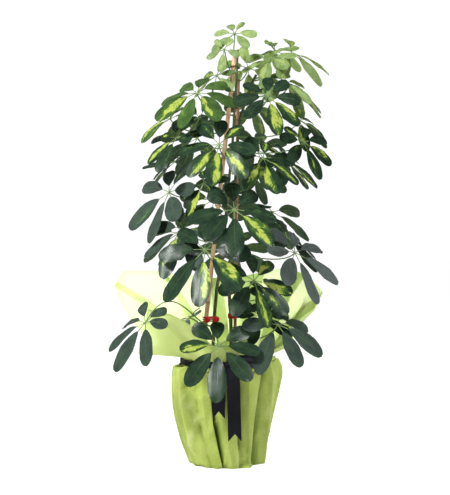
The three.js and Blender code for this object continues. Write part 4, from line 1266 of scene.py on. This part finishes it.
def make_soil():
    """A crumbly surface: a fine grid pushed about, over a plain body, with loose crumbs on it."""
    base, wall = POT["base"], POT["wall"]
    slope = (POT["top_radius"] - POT["base_radius"]) / (POT["top"] - base)

    def radius_at(z):
        return POT["base_radius"] - wall - GAP + slope * (z - base - wall)

    floor, edge, top = base + wall + GAP, SOIL["top"] - SOIL["edge_drop"], SOIL["top"]
    rim = radius_at(edge)
    stations = [(radius_at(floor), floor), (rim, edge)]
    rings, edge_rings = SOIL_BED["rings"], SOIL_BED["edge_rings"]
    for i in range(1, rings):
        stations.append((rim * (1 - i / rings), turn_to(edge, top, min(1, i / edge_rings))))
    body = turned_piece("soil_bed", stations, 72)
    points = points_of(body)
    for point in points:
        if point[2] > edge + SOIL_BED["flat_to"]:
            place = Vector(point * SOIL_BED["scale"])
            fine = SOIL_BED["fine"] * noise.noise(place * SOIL_BED["finer"])
            point[2] += SOIL_BED["coarse"] * noise.noise(place) + fine
    put_points(body, points)
    wear(body, EARTH)
    crumbs = [body]
    draws = Draws(41)
    for _ in range(CRUMBS["count"]):
        turn = draws.draw(0, 2 * math.pi)
        reach = rim * CRUMBS["reach"] * math.sqrt(draws.draw(0, 1))
        size = draws.draw(*CRUMBS["radius"])
        place = (reach * math.cos(turn) * MM, reach * math.sin(turn) * MM, (top + CRUMBS["lift"]) * MM)
        turned_to = (draws.draw(0, CRUMBS["turn"]), draws.draw(0, CRUMBS["turn"]), 0)
        stretched = (1, draws.draw(*CRUMBS["deep"]), draws.draw(*CRUMBS["high"]))
        bpy.ops.mesh.primitive_ico_sphere_add(subdivisions=1, radius=size * MM, location=place,
                                              rotation=turned_to, scale=stretched)
        crumb = settle(bpy.context.active_object)
        wear(crumb, EARTH)
        crumbs.append(crumb)
    soil = smooth(joined(crumbs, "soil_bed"), 70)
    hand_over(soil, "soil", "soil")


# ---- Wrap ----
PAPER_THICKNESS = 0.5
ROWS_BETWEEN = (2, 9, 11, 11, 9, 5, 3, 4, 6, 11, 11, 11)  # the sheet's rows between those of its fold lines
COLUMN_STEP = 4.2  # about how far apart its columns are at the shoulder
FOOT_ROWS = (0.0, 0.3, 0.6, 0.86)  # shares of the foot's radius, under the pot
UNDERSIDE = 0.5  # height of the layers under the pot
SHOULDER_ROW, NECK_ROW, EDGE_ROW = 6, 9, 12
# How far each fold line of the front stands out from the plain panels beside it, on the belly.
SET_OUT = {0: 0, 1: 10, 2: -1, 3: 1.5, 4: -1, 5: 7, 6: 1, 7: -1, 8: -8, 9: 12, 10: -1, 11: 3}
# The knife pleats that take up the sheet's spare width, by the fold line that each lies on, and how
# wide each is at the shoulder. The panel to the left lies over the one to the right.
PLEATS = {5: 18, 7: 20, 9: 24, 11: 24, 13: 30, 15: 30, 17: 30, 19: 30, 21: 32, 23: 32, 25: 26}
DEEPER = {9: 1.7, 5: 1.2}  # pleats that stand further open than the others
# How pale, as a painted highlight, or how deep, as a painted shade, the paper's colour is along a ridge, a
# pleat's start and its hidden fold, and how far from the line it fades.
PAINTED_TONES = {"ridge": (0.75, 5), "edge": (0.2, 5), "plain": (0, 1), "valley": (-0.5, 9), "start": (-0.9, 17),
         "fold": (-1, 60)}
RIDGES, VALLEYS = (0, 1, 9, 10), (3, 8)  # the front's fold lines painted pale as a highlight, and those painted dark as a shade
OPEN = {9: (8, 20)}  # how far from its start a pleat's edge stands open, at the shoulder and at the foot
# How wide a pleat is at the neck and at the edge, for its width at the shoulder, the most of a panel that
# it lies under, and how deep its hidden fold and the next panel's start lie under it, on the belly and on
# the collar. Between the two it changes over some rows below the neck, and near the foot it is shallower.
PLEAT = {"at_neck": 0.95, "wider": 1.75, "most": 0.82, "fold": (13, 3.0), "start": (8, 2.0),
         "below_neck": 0.6, "change_rows": 2, "at_foot": 0.25, "foot_rows": 3}
CORNER = {19: 0.8, 21: 0.3, 23: 0.3, 25: 0.8}  # "wider" for the pleats that open out into the left corner
# How often the fold lines are softened, the row where the belly ends, and over how many rows the paper is
# puffed up.
SOFTENED, BELLY_END_ROW, CROWN_ROWS = 2, 7, 1.2
# The drawn creases: how many, the radius they are laid out on, how far up the sheet, their size and slant,
# the share that stands outwards, and how much stronger they are on the collar.
CREASES = {"seed": 77, "count": 190, "radius": 100, "up": (60, 440), "wide": (5, 14), "long": (14, 60),
           "high": (0.7, 2.4), "slant": 1.0, "outward": 0.6, "collar": 1.7}
# Creases that show in front: compass angle, way up the sheet, slant, half its length and its height.
SEEN_CREASES = [(-42, 196, 1.2, 14, 3.2), (-34, 170, 1.3, 12, 2.8), (-50, 236, 0.3, 12, -3),
                (-38, 120, -0.5, 30, 2.2), (-30, 215, 0.9, 16, 2.4), (28, 190, 0.4, 26, 2)]
# The collar's long waves, and its ragged edge, which goes out and up by shares of its own.
COLLAR_WAVES = {"around": 2.3, "high": 10.0, "ragged": 5.0, "ragged_around": 6, "out": (0.3, 0.5), "up": 0.8}
GATHERS = {"around": 13.0, "deep": 4.0, "along": 0.3, "above_neck": 0.2, "rows": 1.6}
PAINTED_LIGHT = {"collar": 0.12, "creases": 0.24, "fades_over": 0.6}  # how strong the painted highlight and the painted shade are
BACK = {"turn": -10, "most": 0.45, "fall": 1.2, "rows": 1.6}  # the collar is thinnest at the back, and is painted paler there as painted light coming through from behind
EDGE_BAND = 0.25  # the last part of a row, where the cut edge's colour shows
POT_ROOM = 1.2  # how far the sheet stays off the pot inside it
BULGE = {"compass": 60, "width": 30, "lift": 15}  # the paper puffed up over the right shoulder
DIP = {"compass": 14, "width": 40, "lift": -6}  # and drawn down in front


def through(points, share):
    """A smooth curve through points, at a share of the way along them."""
    last = len(points) - 1
    place = min(share * last, last - 1e-9)
    i = int(place)
    t = place - i
    a, b, c, d = [points[min(max(k, 0), last)] for k in (i - 1, i, i + 1, i + 2)]
    return 0.5 * (2 * b + (c - a) * t + (2 * a - 5 * b + 4 * c - d) * t * t + (3 * b - a - 3 * c + d) * t**3)


def softened(lines, times):
    """Each point moved towards the two beside it on its line, the ends kept."""
    for _ in range(times):
        moved = lines / 2 + (np.roll(lines, 1, 1) + np.roll(lines, -1, 1)) / 4
        moved[:, 0], moved[:, -1] = lines[:, 0], lines[:, -1]
        lines = moved
    return lines


def compass_of(points):
    return np.degrees(np.arctan2(points[..., 0], -points[..., 1]))


def inward_ways(line):
    """Which way is in from the sheet, towards the pot and the plant, at each row of a fold line."""
    out = line[:, :2] / np.linalg.norm(line[:, :2], axis=1)[:, None]
    along = np.gradient(line, axis=0)
    spreading = (along[:, :2] * out).sum(1)
    ways = np.column_stack([-out * along[:, 2:], spreading])
    return ways / np.linalg.norm(ways, axis=1)[:, None]


def shoulder_lift(line):
    """How much higher or lower than its fold lines the shoulder stands, by where it is round the pot."""
    compass = compass_of(line)
    return sum(way["lift"] * np.exp(-(((compass - way["compass"]) / way["width"]) ** 2))
               for way in (BULGE, DIP))


def settled_lines(rows):
    """The wrap's fold lines at the sheet's own rows, with the front's ridges and panels set out."""
    stops = [(int(min(row, EDGE_ROW - 1)), row - int(min(row, EDGE_ROW - 1))) for row in rows]
    lines = np.array([[turn_to(line[j], line[j + 1], share) for j, share in stops] for line in WRAP_LINES])
    lines = softened(lines, SOFTENED)
    belly = np.minimum(1, rows) * np.clip(BELLY_END_ROW - rows, 0, 1)
    crown = np.maximum(0, 1 - abs(rows - CROWN["row"]) / CROWN_ROWS)
    for i, line in enumerate(lines):
        out = line[:, :2] / np.linalg.norm(line[:, :2], axis=1)[:, None]
        line[:, :2] += out * (SET_OUT.get(i, 0) * belly)[:, None]
        line[:, 2] += shoulder_lift(line) * crown
    return lines


def left_of(lines, i, distance):
    """The points of the panels to the left of a fold line, at a distance from it."""
    line, before, further = lines[i], lines[i - 1], lines[i - 2]
    first = np.linalg.norm(line - before, axis=1)
    second = np.linalg.norm(before - further, axis=1)
    distance = np.minimum(distance, PLEAT["most"] * (first + second))
    near = np.minimum(distance / first, 1)[:, None]
    far = np.clip((distance - first) / second, 0, 1)[:, None]
    return turn_to(turn_to(line, before, near), further, far)


def pleat_lines(lines, i, rows):
    """A knife pleat at one fold line: its edge, its hidden fold and where the next panel starts."""
    at_shoulder, at_foot = OPEN.get(i, (0, 0))
    is_open = np.interp(rows, (0, 1, SHOULDER_ROW, NECK_ROW), (0, at_foot, at_shoulder, 0))
    wider = CORNER.get(i, PLEAT["wider"])
    wide = np.interp(rows, (0, SHOULDER_ROW, NECK_ROW, EDGE_ROW), (0, 1, PLEAT["at_neck"], wider))
    wide = PLEATS[i] * wide
    edge, under = left_of(lines, i, is_open), left_of(lines, i, is_open + wide)
    inwards = inward_ways(lines[i])
    belly = np.clip((NECK_ROW - PLEAT["below_neck"] - rows) / PLEAT["change_rows"], 0, 1)
    risen = np.minimum(1, PLEAT["at_foot"] + rows / PLEAT["foot_rows"]) * np.minimum(1, rows)
    risen = risen * turn_to(1, DEEPER.get(i, 1), belly)
    fold, start = [turn_to(PLEAT[key][1], PLEAT[key][0], belly) * risen for key in ("fold", "start")]
    return [(edge, "ridge" if i in RIDGES else "edge"), (under + inwards * fold[:, None], "fold"),
            (lines[i] + inwards * start[:, None], "start")]


def creases_at(compass, up, collar):
    """How high the stiff paper's straight creases stand, each with a sharp top and flat sides."""
    draws = Draws(CREASES["seed"])
    found = [(angle, rise, slant, CREASES["wide"][1], reach, high)
             for angle, rise, slant, reach, high in SEEN_CREASES]
    for _ in range(CREASES["count"]):
        angle, rise = draws.draw(-180, 180), draws.draw(*CREASES["up"])
        slant, wide = draws.draw(-1, 1) * CREASES["slant"], draws.draw(*CREASES["wide"])
        reach, high = draws.draw(*CREASES["long"]), draws.draw(*CREASES["high"])
        sign = 1 if draws.draw(0, 1) < CREASES["outward"] else -1
        found.append((angle, rise, slant, wide, reach, sign * high))
    height = np.zeros_like(up)
    for angle, rise, slant, wide, reach, high in found:
        around = np.radians((compass - angle + 180) % 360 - 180) * CREASES["radius"]
        along = around * math.sin(slant) + (up - rise) * math.cos(slant)
        off = around * math.cos(slant) - (up - rise) * math.sin(slant)
        height += high * np.maximum(0, 1 - abs(off) / wide) * np.maximum(0, 1 - (along / reach) ** 2)
    return height * (1 + (CREASES["collar"] - 1) * collar)


def off_the_pot(column):
    """A column of the sheet with each point moved out to where the pot leaves it room."""
    lip = POT["top"] - POT["lip_depth"]
    radii = POT["base_radius"], POT["top_radius"], POT["top_radius"] + POT["lip"]
    least = np.interp(column[:, 2], (POT["base"], lip - 1, lip), radii) + PAPER_THICKNESS + POT_ROOM
    beside = (column[:, 2] > POT["base"]) & (column[:, 2] < POT["top"] + POT_ROOM)
    reach = np.linalg.norm(column[:, :2], axis=1)
    wider = np.where(beside, np.maximum(1, least / reach), 1)
    return column * np.column_stack([wider, wider, np.ones(len(column))])


def crumpled(column, rows):
    """One column of the sheet, pushed out and in by its creases, its gathers and the collar's waves."""
    out = column[:, :2] / np.linalg.norm(column[:, :2], axis=1)[:, None]
    steps = np.linalg.norm(np.diff(column, axis=0), axis=1)
    up = np.hypot(*column[0, :2]) + np.concatenate([[0], np.cumsum(steps)])
    collar = np.clip((rows - NECK_ROW) / (EDGE_ROW - NECK_ROW), 0, 1)
    creased = creases_at(compass_of(column), up, collar)
    near_neck = np.maximum(0, 1 - abs(rows - NECK_ROW - GATHERS["above_neck"]) / GATHERS["rows"])
    around, wide, fine = GATHERS["around"], COLLAR_WAVES["around"], COLLAR_WAVES["ragged_around"]
    waved, ragged = [], []
    for (x, y), row, share, near in zip(out, rows, collar, near_neck):
        along = row * GATHERS["along"]
        gather = near * GATHERS["deep"] * noise.noise(Vector((x * around, y * around, along)))
        wave = COLLAR_WAVES["high"] * noise.noise(Vector((x * wide, y * wide, 7 + share))) * share**1.5
        waved.append(gather + wave)
        ragged.append(COLLAR_WAVES["ragged"] * noise.noise(Vector((x * fine, y * fine, 3))) * share**3)
    push = (creased + waved) * np.minimum(1, rows)
    ways = -inward_ways(column)
    at_neck, further = COLLAR_WAVES["out"]
    upwards = 1 - COLLAR_WAVES["up"] * collar
    outwards = np.column_stack([out * (at_neck + further * collar)[:, None], upwards])
    moved = column + ways * push[:, None] + outwards * np.array(ragged)[:, None]
    return off_the_pot(moved), creased


def toned(distance, kind):
    tone, reach = PAINTED_TONES[kind]
    return tone * np.maximum(0, 1 - distance / reach)


def wrap_grid():
    """The sheet's points, column by column round it, their painted highlight and shade, and its rows'
    numbers.
    """
    rows = [j + k / steps for j, steps in enumerate(ROWS_BETWEEN) for k in range(steps)]
    rows = np.array([*rows, EDGE_ROW])
    lines = settled_lines(rows)
    fold_lines = []
    for i, line in enumerate(lines):
        plain = "ridge" if i in RIDGES else "valley" if i in VALLEYS else "plain"
        fold_lines += pleat_lines(lines, i, rows) if i in PLEATS else [(line, plain)]
    shoulder = int(np.argmin(abs(rows - SHOULDER_ROW)))
    strength = np.interp(rows, (NECK_ROW, NECK_ROW + PAINTED_LIGHT["fades_over"]), (1, PAINTED_LIGHT["collar"]))
    grid, relief = [], []
    for i, (line, kind) in enumerate(fold_lines):
        following, next_kind = fold_lines[(i + 1) % len(fold_lines)]
        apart = np.linalg.norm(following - line, axis=1)
        steps = max(2, round(apart[shoulder] / COLUMN_STEP))
        for share in np.arange(steps) / steps:
            column, creased = crumpled(turn_to(line, following, share), rows)
            tone = toned(apart * share, kind) + toned(apart * (1 - share), next_kind)
            grid.append(column)
            # The creases add a painted highlight on their tops and a painted shade in their hollows.
            relief.append(np.clip(tone * strength + creased * PAINTED_LIGHT["creases"], -1, 1))
    return np.array(grid), np.array(relief), rows


def make_wrap():
    """The sheet: closed under the pot, its skirt in solid paper and its collar in airy paper."""
    grid, relief, rows = wrap_grid()
    count, under = len(grid), len(FOOT_ROWS)
    piece, places = sheet_grid("wrap_sheet", count, len(rows) - 1 + under)
    foot = np.array([[vec((x * share, y * share, UNDERSIDE)) for share in FOOT_ROWS]
                     for x, y, _ in grid[:, 0]])
    column, row = places[:, 0] % count, places[:, 1]
    put_points(piece, np.concatenate([foot, grid], axis=1)[column, row])
    relief = np.concatenate([np.zeros((count, under)), relief], axis=1)
    all_rows = np.concatenate([np.zeros(under), rows])[row]
    flap = np.clip((all_rows - NECK_ROW) / BACK["rows"], 0, 1)
    turn = np.radians(compass_of(points_of(piece)) + BACK["turn"])
    at_back = np.clip(BACK["most"] - BACK["fall"] * np.cos(turn), 0, 1)
    cut_edge = np.clip((all_rows - (EDGE_ROW - EDGE_BAND)) / EDGE_BAND, 0, 1)
    tell(piece, relief=relief[column, row], behind=at_back * flap, edge=cut_edge)
    wear(piece, PAPER, THIN_PAPER)
    for face in piece.data.polygons:
        face.material_index = int(all_rows[list(face.vertices)].min() >= NECK_ROW)
    merge_doubles(piece, 0.01)
    modify(piece, "SOLIDIFY", thickness=PAPER_THICKNESS * MM, offset=-1)
    smooth(piece, 20)
    hand_over(piece, "wrap_paper", "wrap")


# ---- Ribbon ----
RIBBON_THICKNESS = 0.4
BAND = {"steps": (168, 18), "pleats": 3, "deep": 1.25, "stand": 1.75, "wander": (3, 1.6, 1.2)}
# An end is narrower where it is gathered under the knot, and waves a little on its way down.
END = {"steps": (10, 34), "gather": 2.6, "narrower": 0.4, "notch_over": 40, "pleat": (1.5, 15), "wave": 0.6,
       "long_wave": (0.9, 6, 2.4), "short_wave": (0.5, 3, 6)}
# The loop's compass angles, its middle radius, how it opens, its height and its width along it.
BOW_LOOP = {"steps": (10, 48), "start": 1, "end": 43, "radius": 97, "fat": 2.6, "top": 209, "fall": 7,
            "wide": (9, 26, 12), "fuller": 1.3, "pleat": (1.1, 13, 2, 0.6)}
KNOT = {"middle": (-2, -97, 200), "size": (18, 8, 15), "pleat": (0.9, 8), "waist": (0.82, 0.25)}


def band_of_ribbon():
    """The ribbon drawn tight round the neck, its width gathered into a few pleats."""
    around, up = BAND["steps"]
    by_turn, by_pleat, by_height = BAND["wander"]
    piece, places = sheet_grid("band", around, up)
    points = []
    for i, j in places:
        turn, share = 2 * math.pi * (i % around) / around, j / up
        wander = noise.noise(Vector((math.sin(turn) * by_turn, math.cos(turn) * by_turn, share)))
        pleat = BAND["deep"] * math.sin(share * 2 * math.pi * BAND["pleats"] + by_pleat * wander)
        height = turn_to(RIBBON["bottom"], RIBBON["top"], share) + by_height * wander
        points.append(polar(math.degrees(turn), RIBBON["inner"] + BAND["stand"] + pleat, height))
    put_points(piece, points)
    return piece


def tail_of_ribbon(tail):
    """One end of the ribbon, hanging over the shoulder and cut into a swallow tail."""
    across_steps, along_steps = END["steps"]
    deep, close = END["pleat"]
    (high, along, slanting), (low, low_along, low_slanting) = END["long_wave"], END["short_wave"]
    piece, places = sheet_grid(f"tail_{tail['name']}", across_steps, along_steps)
    drop = [vec(row) for row in tail_drop(tail)]
    length = drop[0][1] - tail["end"]
    points = []
    for i, j in places:
        across, share = i / across_steps, 1 - j / along_steps
        front, z = through(drop, share)
        left, right = tail_sides(tail, share)
        gathered = max(0, 1 - share * END["gather"])
        x = turn_to(left, right, 0.5 + (across - 0.5) * (1 - END["narrower"] * gathered**2))
        to_end = max(0, 1 - (1 - share) * length / END["notch_over"])
        notch = NOTCH["height"] * (1 - abs(2 * across - 1)) * to_end
        pleat = deep * gathered * math.sin(across * close)
        fold = high * math.sin(share * along + across * slanting)
        fold += low * math.sin(across * low_slanting + share * low_along)
        points.append(vec((x, -(front + tail["lift"]) + END["wave"] * fold + pleat, z + notch)))
    put_points(piece, points)
    return piece


def loop_of_ribbon():
    """The bow's loop: it lies round the neck to the right of the knot and comes back to it."""
    across_steps, along_steps = BOW_LOOP["steps"]
    deep, close, slanting, fading = BOW_LOOP["pleat"]
    piece, places = sheet_grid("loop", across_steps, along_steps)
    narrow, wide, end = BOW_LOOP["wide"]
    points = []
    for i, j in places:
        across, turn = i / across_steps - 0.5, 2 * math.pi * j / along_steps
        share = (1 - math.cos(turn)) / 2
        full = 2 * share * (1 - share) * wide * BOW_LOOP["fuller"]
        width = (1 - share) ** 2 * narrow + full + share**2 * end
        pleat = deep * math.sin(across * close + slanting * share) * (1 - fading * share)
        radius = BOW_LOOP["radius"] + BOW_LOOP["fat"] * math.sin(turn) + pleat
        compass = turn_to(BOW_LOOP["start"], BOW_LOOP["end"], share)
        z = BOW_LOOP["top"] - BOW_LOOP["fall"] * share**2 + across * width
        points.append(polar(compass, radius, z))
    put_points(piece, points)
    return piece


def knot_of_ribbon():
    """The tied knot: one turn of the ribbon drawn tight over the rest, rounded and pleated."""
    middle, size = vec(KNOT["middle"]), vec(KNOT["size"])
    bpy.ops.mesh.primitive_cube_add(size=1, location=middle * MM, scale=size * MM)
    piece = modify(settle(bpy.context.active_object), "SUBSURF", levels=4, render_levels=4)
    deep, close = KNOT["pleat"]
    waist, wider = KNOT["waist"]
    points = points_of(piece)
    for point in points:
        across, up = (point - middle)[[0, 2]] / (size[[0, 2]] / 2)
        point[1] -= deep * math.sin(across * close + up) * (1 - across * across)
        point[0] = middle[0] + (point[0] - middle[0]) * (waist + wider * up * up)
    put_points(piece, points)
    return piece


def make_ribbon():
    flats = [band_of_ribbon(), loop_of_ribbon(), *[tail_of_ribbon(tail) for tail in TAILS]]
    ribbon = joined(flats, "ribbon_satin")
    merge_doubles(ribbon, 0.01)
    modify(ribbon, "SOLIDIFY", thickness=RIBBON_THICKNESS * MM, offset=0)
    ribbon = smooth(joined([ribbon, knot_of_ribbon()], "ribbon_satin"), 50)
    wear(ribbon, SATIN)
    hand_over(ribbon, "ribbon_satin", "ribbon")


# ---- The view ----
CAMERA = {"place": (-0.0039, -2.3, 0.45), "drop": 0.031, "far": 2.3, "height": 0.965}
WHITE = (1, 1, 1, 1)
# The floor's size, and how much it throws back and glows, plainly, in gloss and to the camera.
FLOOR = {"size": 40, "grey": (0.25, 0.25, 0.25, 1), "in_gloss": (0.08, 0.08, 0.08, 1), "glow": 0.3,
         "glow_in_gloss": -0.2, "glow_to_camera": 0.65}
# The room's light, as (from, to, least, most) along its depth and its height.
ROOM_LIGHT = {"behind": (0.3, 0.95, 0.12, 0.6), "above": (0.3, 1.0, 0.0, 0.1), "in_gloss": -0.65,
              "to_camera": 1.05}
PLANT, COLLAR = (0, 0, 0.42), (0, 0.08, 0.28)  # what the lamps are aimed at
# The lamps: place, aim, width, height for that width, power, and the kind of rays that doesn't see it.
LAMPS = {
    "key": ((-1.25, -1.7, 2.1), PLANT, 0.5, 1, 104, "glossy"),
    "gloss_left": ((-1.5, -1.4, 1.9), PLANT, 0.22, 5, 66, "diffuse"),
    "gloss_right": ((1.1, -1.9, 1.8), PLANT, 0.22, 5, 34, "diffuse"),
    "gloss_low": ((-1.7, -1.5, 0.3), PLANT, 0.22, 5, 16, "diffuse"),
    "fill": ((1.6, -1.9, 0.8), PLANT, 0.9, 1, 14, None),
    "back_left": ((-1.4, 1.3, 1.6), PLANT, 0.9, 1, 22, "glossy"),
    "back_right": ((1.5, 1.2, 1.3), PLANT, 0.9, 1, 20, "glossy"),
    "low_left": ((-0.6, 0.75, 0.16), COLLAR, 0.4, 1, 8, "glossy"),
    "low_right": ((0.55, 0.8, 0.16), COLLAR, 0.4, 1, 7, "glossy"),
    "side_left": ((-1.4, -0.9, 0.3), COLLAR, 0.5, 1, 12, None),
    "side_right": ((1.4, -0.7, 0.3), COLLAR, 0.5, 1, 10, None),
}


def make_camera():
    data = bpy.data.cameras.new("view")
    camera = bpy.data.objects.new("view", data)
    bpy.context.collection.objects.link(camera)
    data.lens = data.sensor_width * CAMERA["far"] / CAMERA["height"]
    camera.location = CAMERA["place"]
    aim = Vector((0, CAMERA["far"], -CAMERA["drop"]))
    camera.rotation_euler = aim.to_track_quat("-Z", "Y").to_euler()
    bpy.context.scene.camera = camera


def make_lamp(name, place, aim, size, tall, power, unseen_by):
    data = bpy.data.lights.new(name, "AREA")
    data.shape = "RECTANGLE"
    data.size, data.size_y = size, size * tall
    data.energy = power
    lamp = bpy.data.objects.new(name, data)
    bpy.context.collection.objects.link(lamp)
    lamp.location = place
    lamp.rotation_euler = (Vector(aim) - Vector(place)).to_track_quat("-Z", "Y").to_euler()
    if unseen_by:
        setattr(lamp, f"visible_{unseen_by}", False)


def make_floor():
    """A floor that is white to the camera, throws less light back at the plant and is darker in gloss."""
    bpy.ops.mesh.primitive_plane_add(size=FLOOR["size"])
    floor = bpy.context.active_object
    floor.name = "floor"
    made, w, skin = material("floor_white")
    skin["Roughness"].default_value = 1
    skin["Specular IOR Level"].default_value = 0
    skin["Emission Color"].default_value = WHITE
    rays = w.node("ShaderNodeLightPath").outputs
    glow = w.maths("MULTIPLY_ADD", rays["Is Glossy Ray"], FLOOR["glow_in_gloss"], FLOOR["glow"])
    glow = w.maths("MULTIPLY_ADD", rays["Is Camera Ray"], FLOOR["glow_to_camera"], glow)
    w.put(skin["Emission Strength"], glow)
    w.put(skin["Base Color"], w.blend(rays["Is Glossy Ray"], FLOOR["grey"], FLOOR["in_gloss"]))
    wear(floor, made)


def make_world():
    """A white room: bright behind and above the plant, dimmer in front of it and in gloss."""
    world = bpy.data.worlds.new("studio")
    world.use_nodes = True
    w = Wires(world.node_tree)
    way = w.node("ShaderNodeTexCoord").outputs["Generated"]
    _, depth, height = w.node("ShaderNodeSeparateXYZ", {0: way}).outputs
    light = w.plus(w.step(depth, *ROOM_LIGHT["behind"]), w.step(height, *ROOM_LIGHT["above"]))
    rays = w.node("ShaderNodeLightPath").outputs
    in_gloss = w.maths("MULTIPLY_ADD", rays["Is Glossy Ray"], ROOM_LIGHT["in_gloss"], 1.0)
    lit = w.node("ShaderNodeBackground", {0: WHITE, 1: w.times(light, in_gloss)}).outputs[0]
    seen = w.node("ShaderNodeBackground", {0: WHITE, 1: ROOM_LIGHT["to_camera"]}).outputs[0]
    mixed = w.node("ShaderNodeMixShader", {0: rays["Is Camera Ray"], 1: lit, 2: seen}).outputs[0]
    w.put(world.node_tree.nodes["World Output"].inputs["Surface"], mixed)
    bpy.context.scene.world = world
    bpy.context.scene.view_settings.view_transform = "Standard"


def make_studio():
    make_floor()
    make_world()
    for name, lamp in LAMPS.items():
        make_lamp(name, *lamp)


make_camera()
make_studio()
make_fronds()
for stem_name in STEMS:
    make_stem(stem_name)
make_cane("cane_left", BAMBOO_TAN, "bamboo_tan")
make_cane("cane_right", BAMBOO_BROWN, "bamboo_brown")
for one_tie in TIES:
    if "red" in one_tie["name"]:
        make_tie(one_tie, RED, "tie_red")
    else:
        make_tie(one_tie, DARK, "tie_dark")
make_pot()
make_soil()
make_wrap()
make_ribbon()
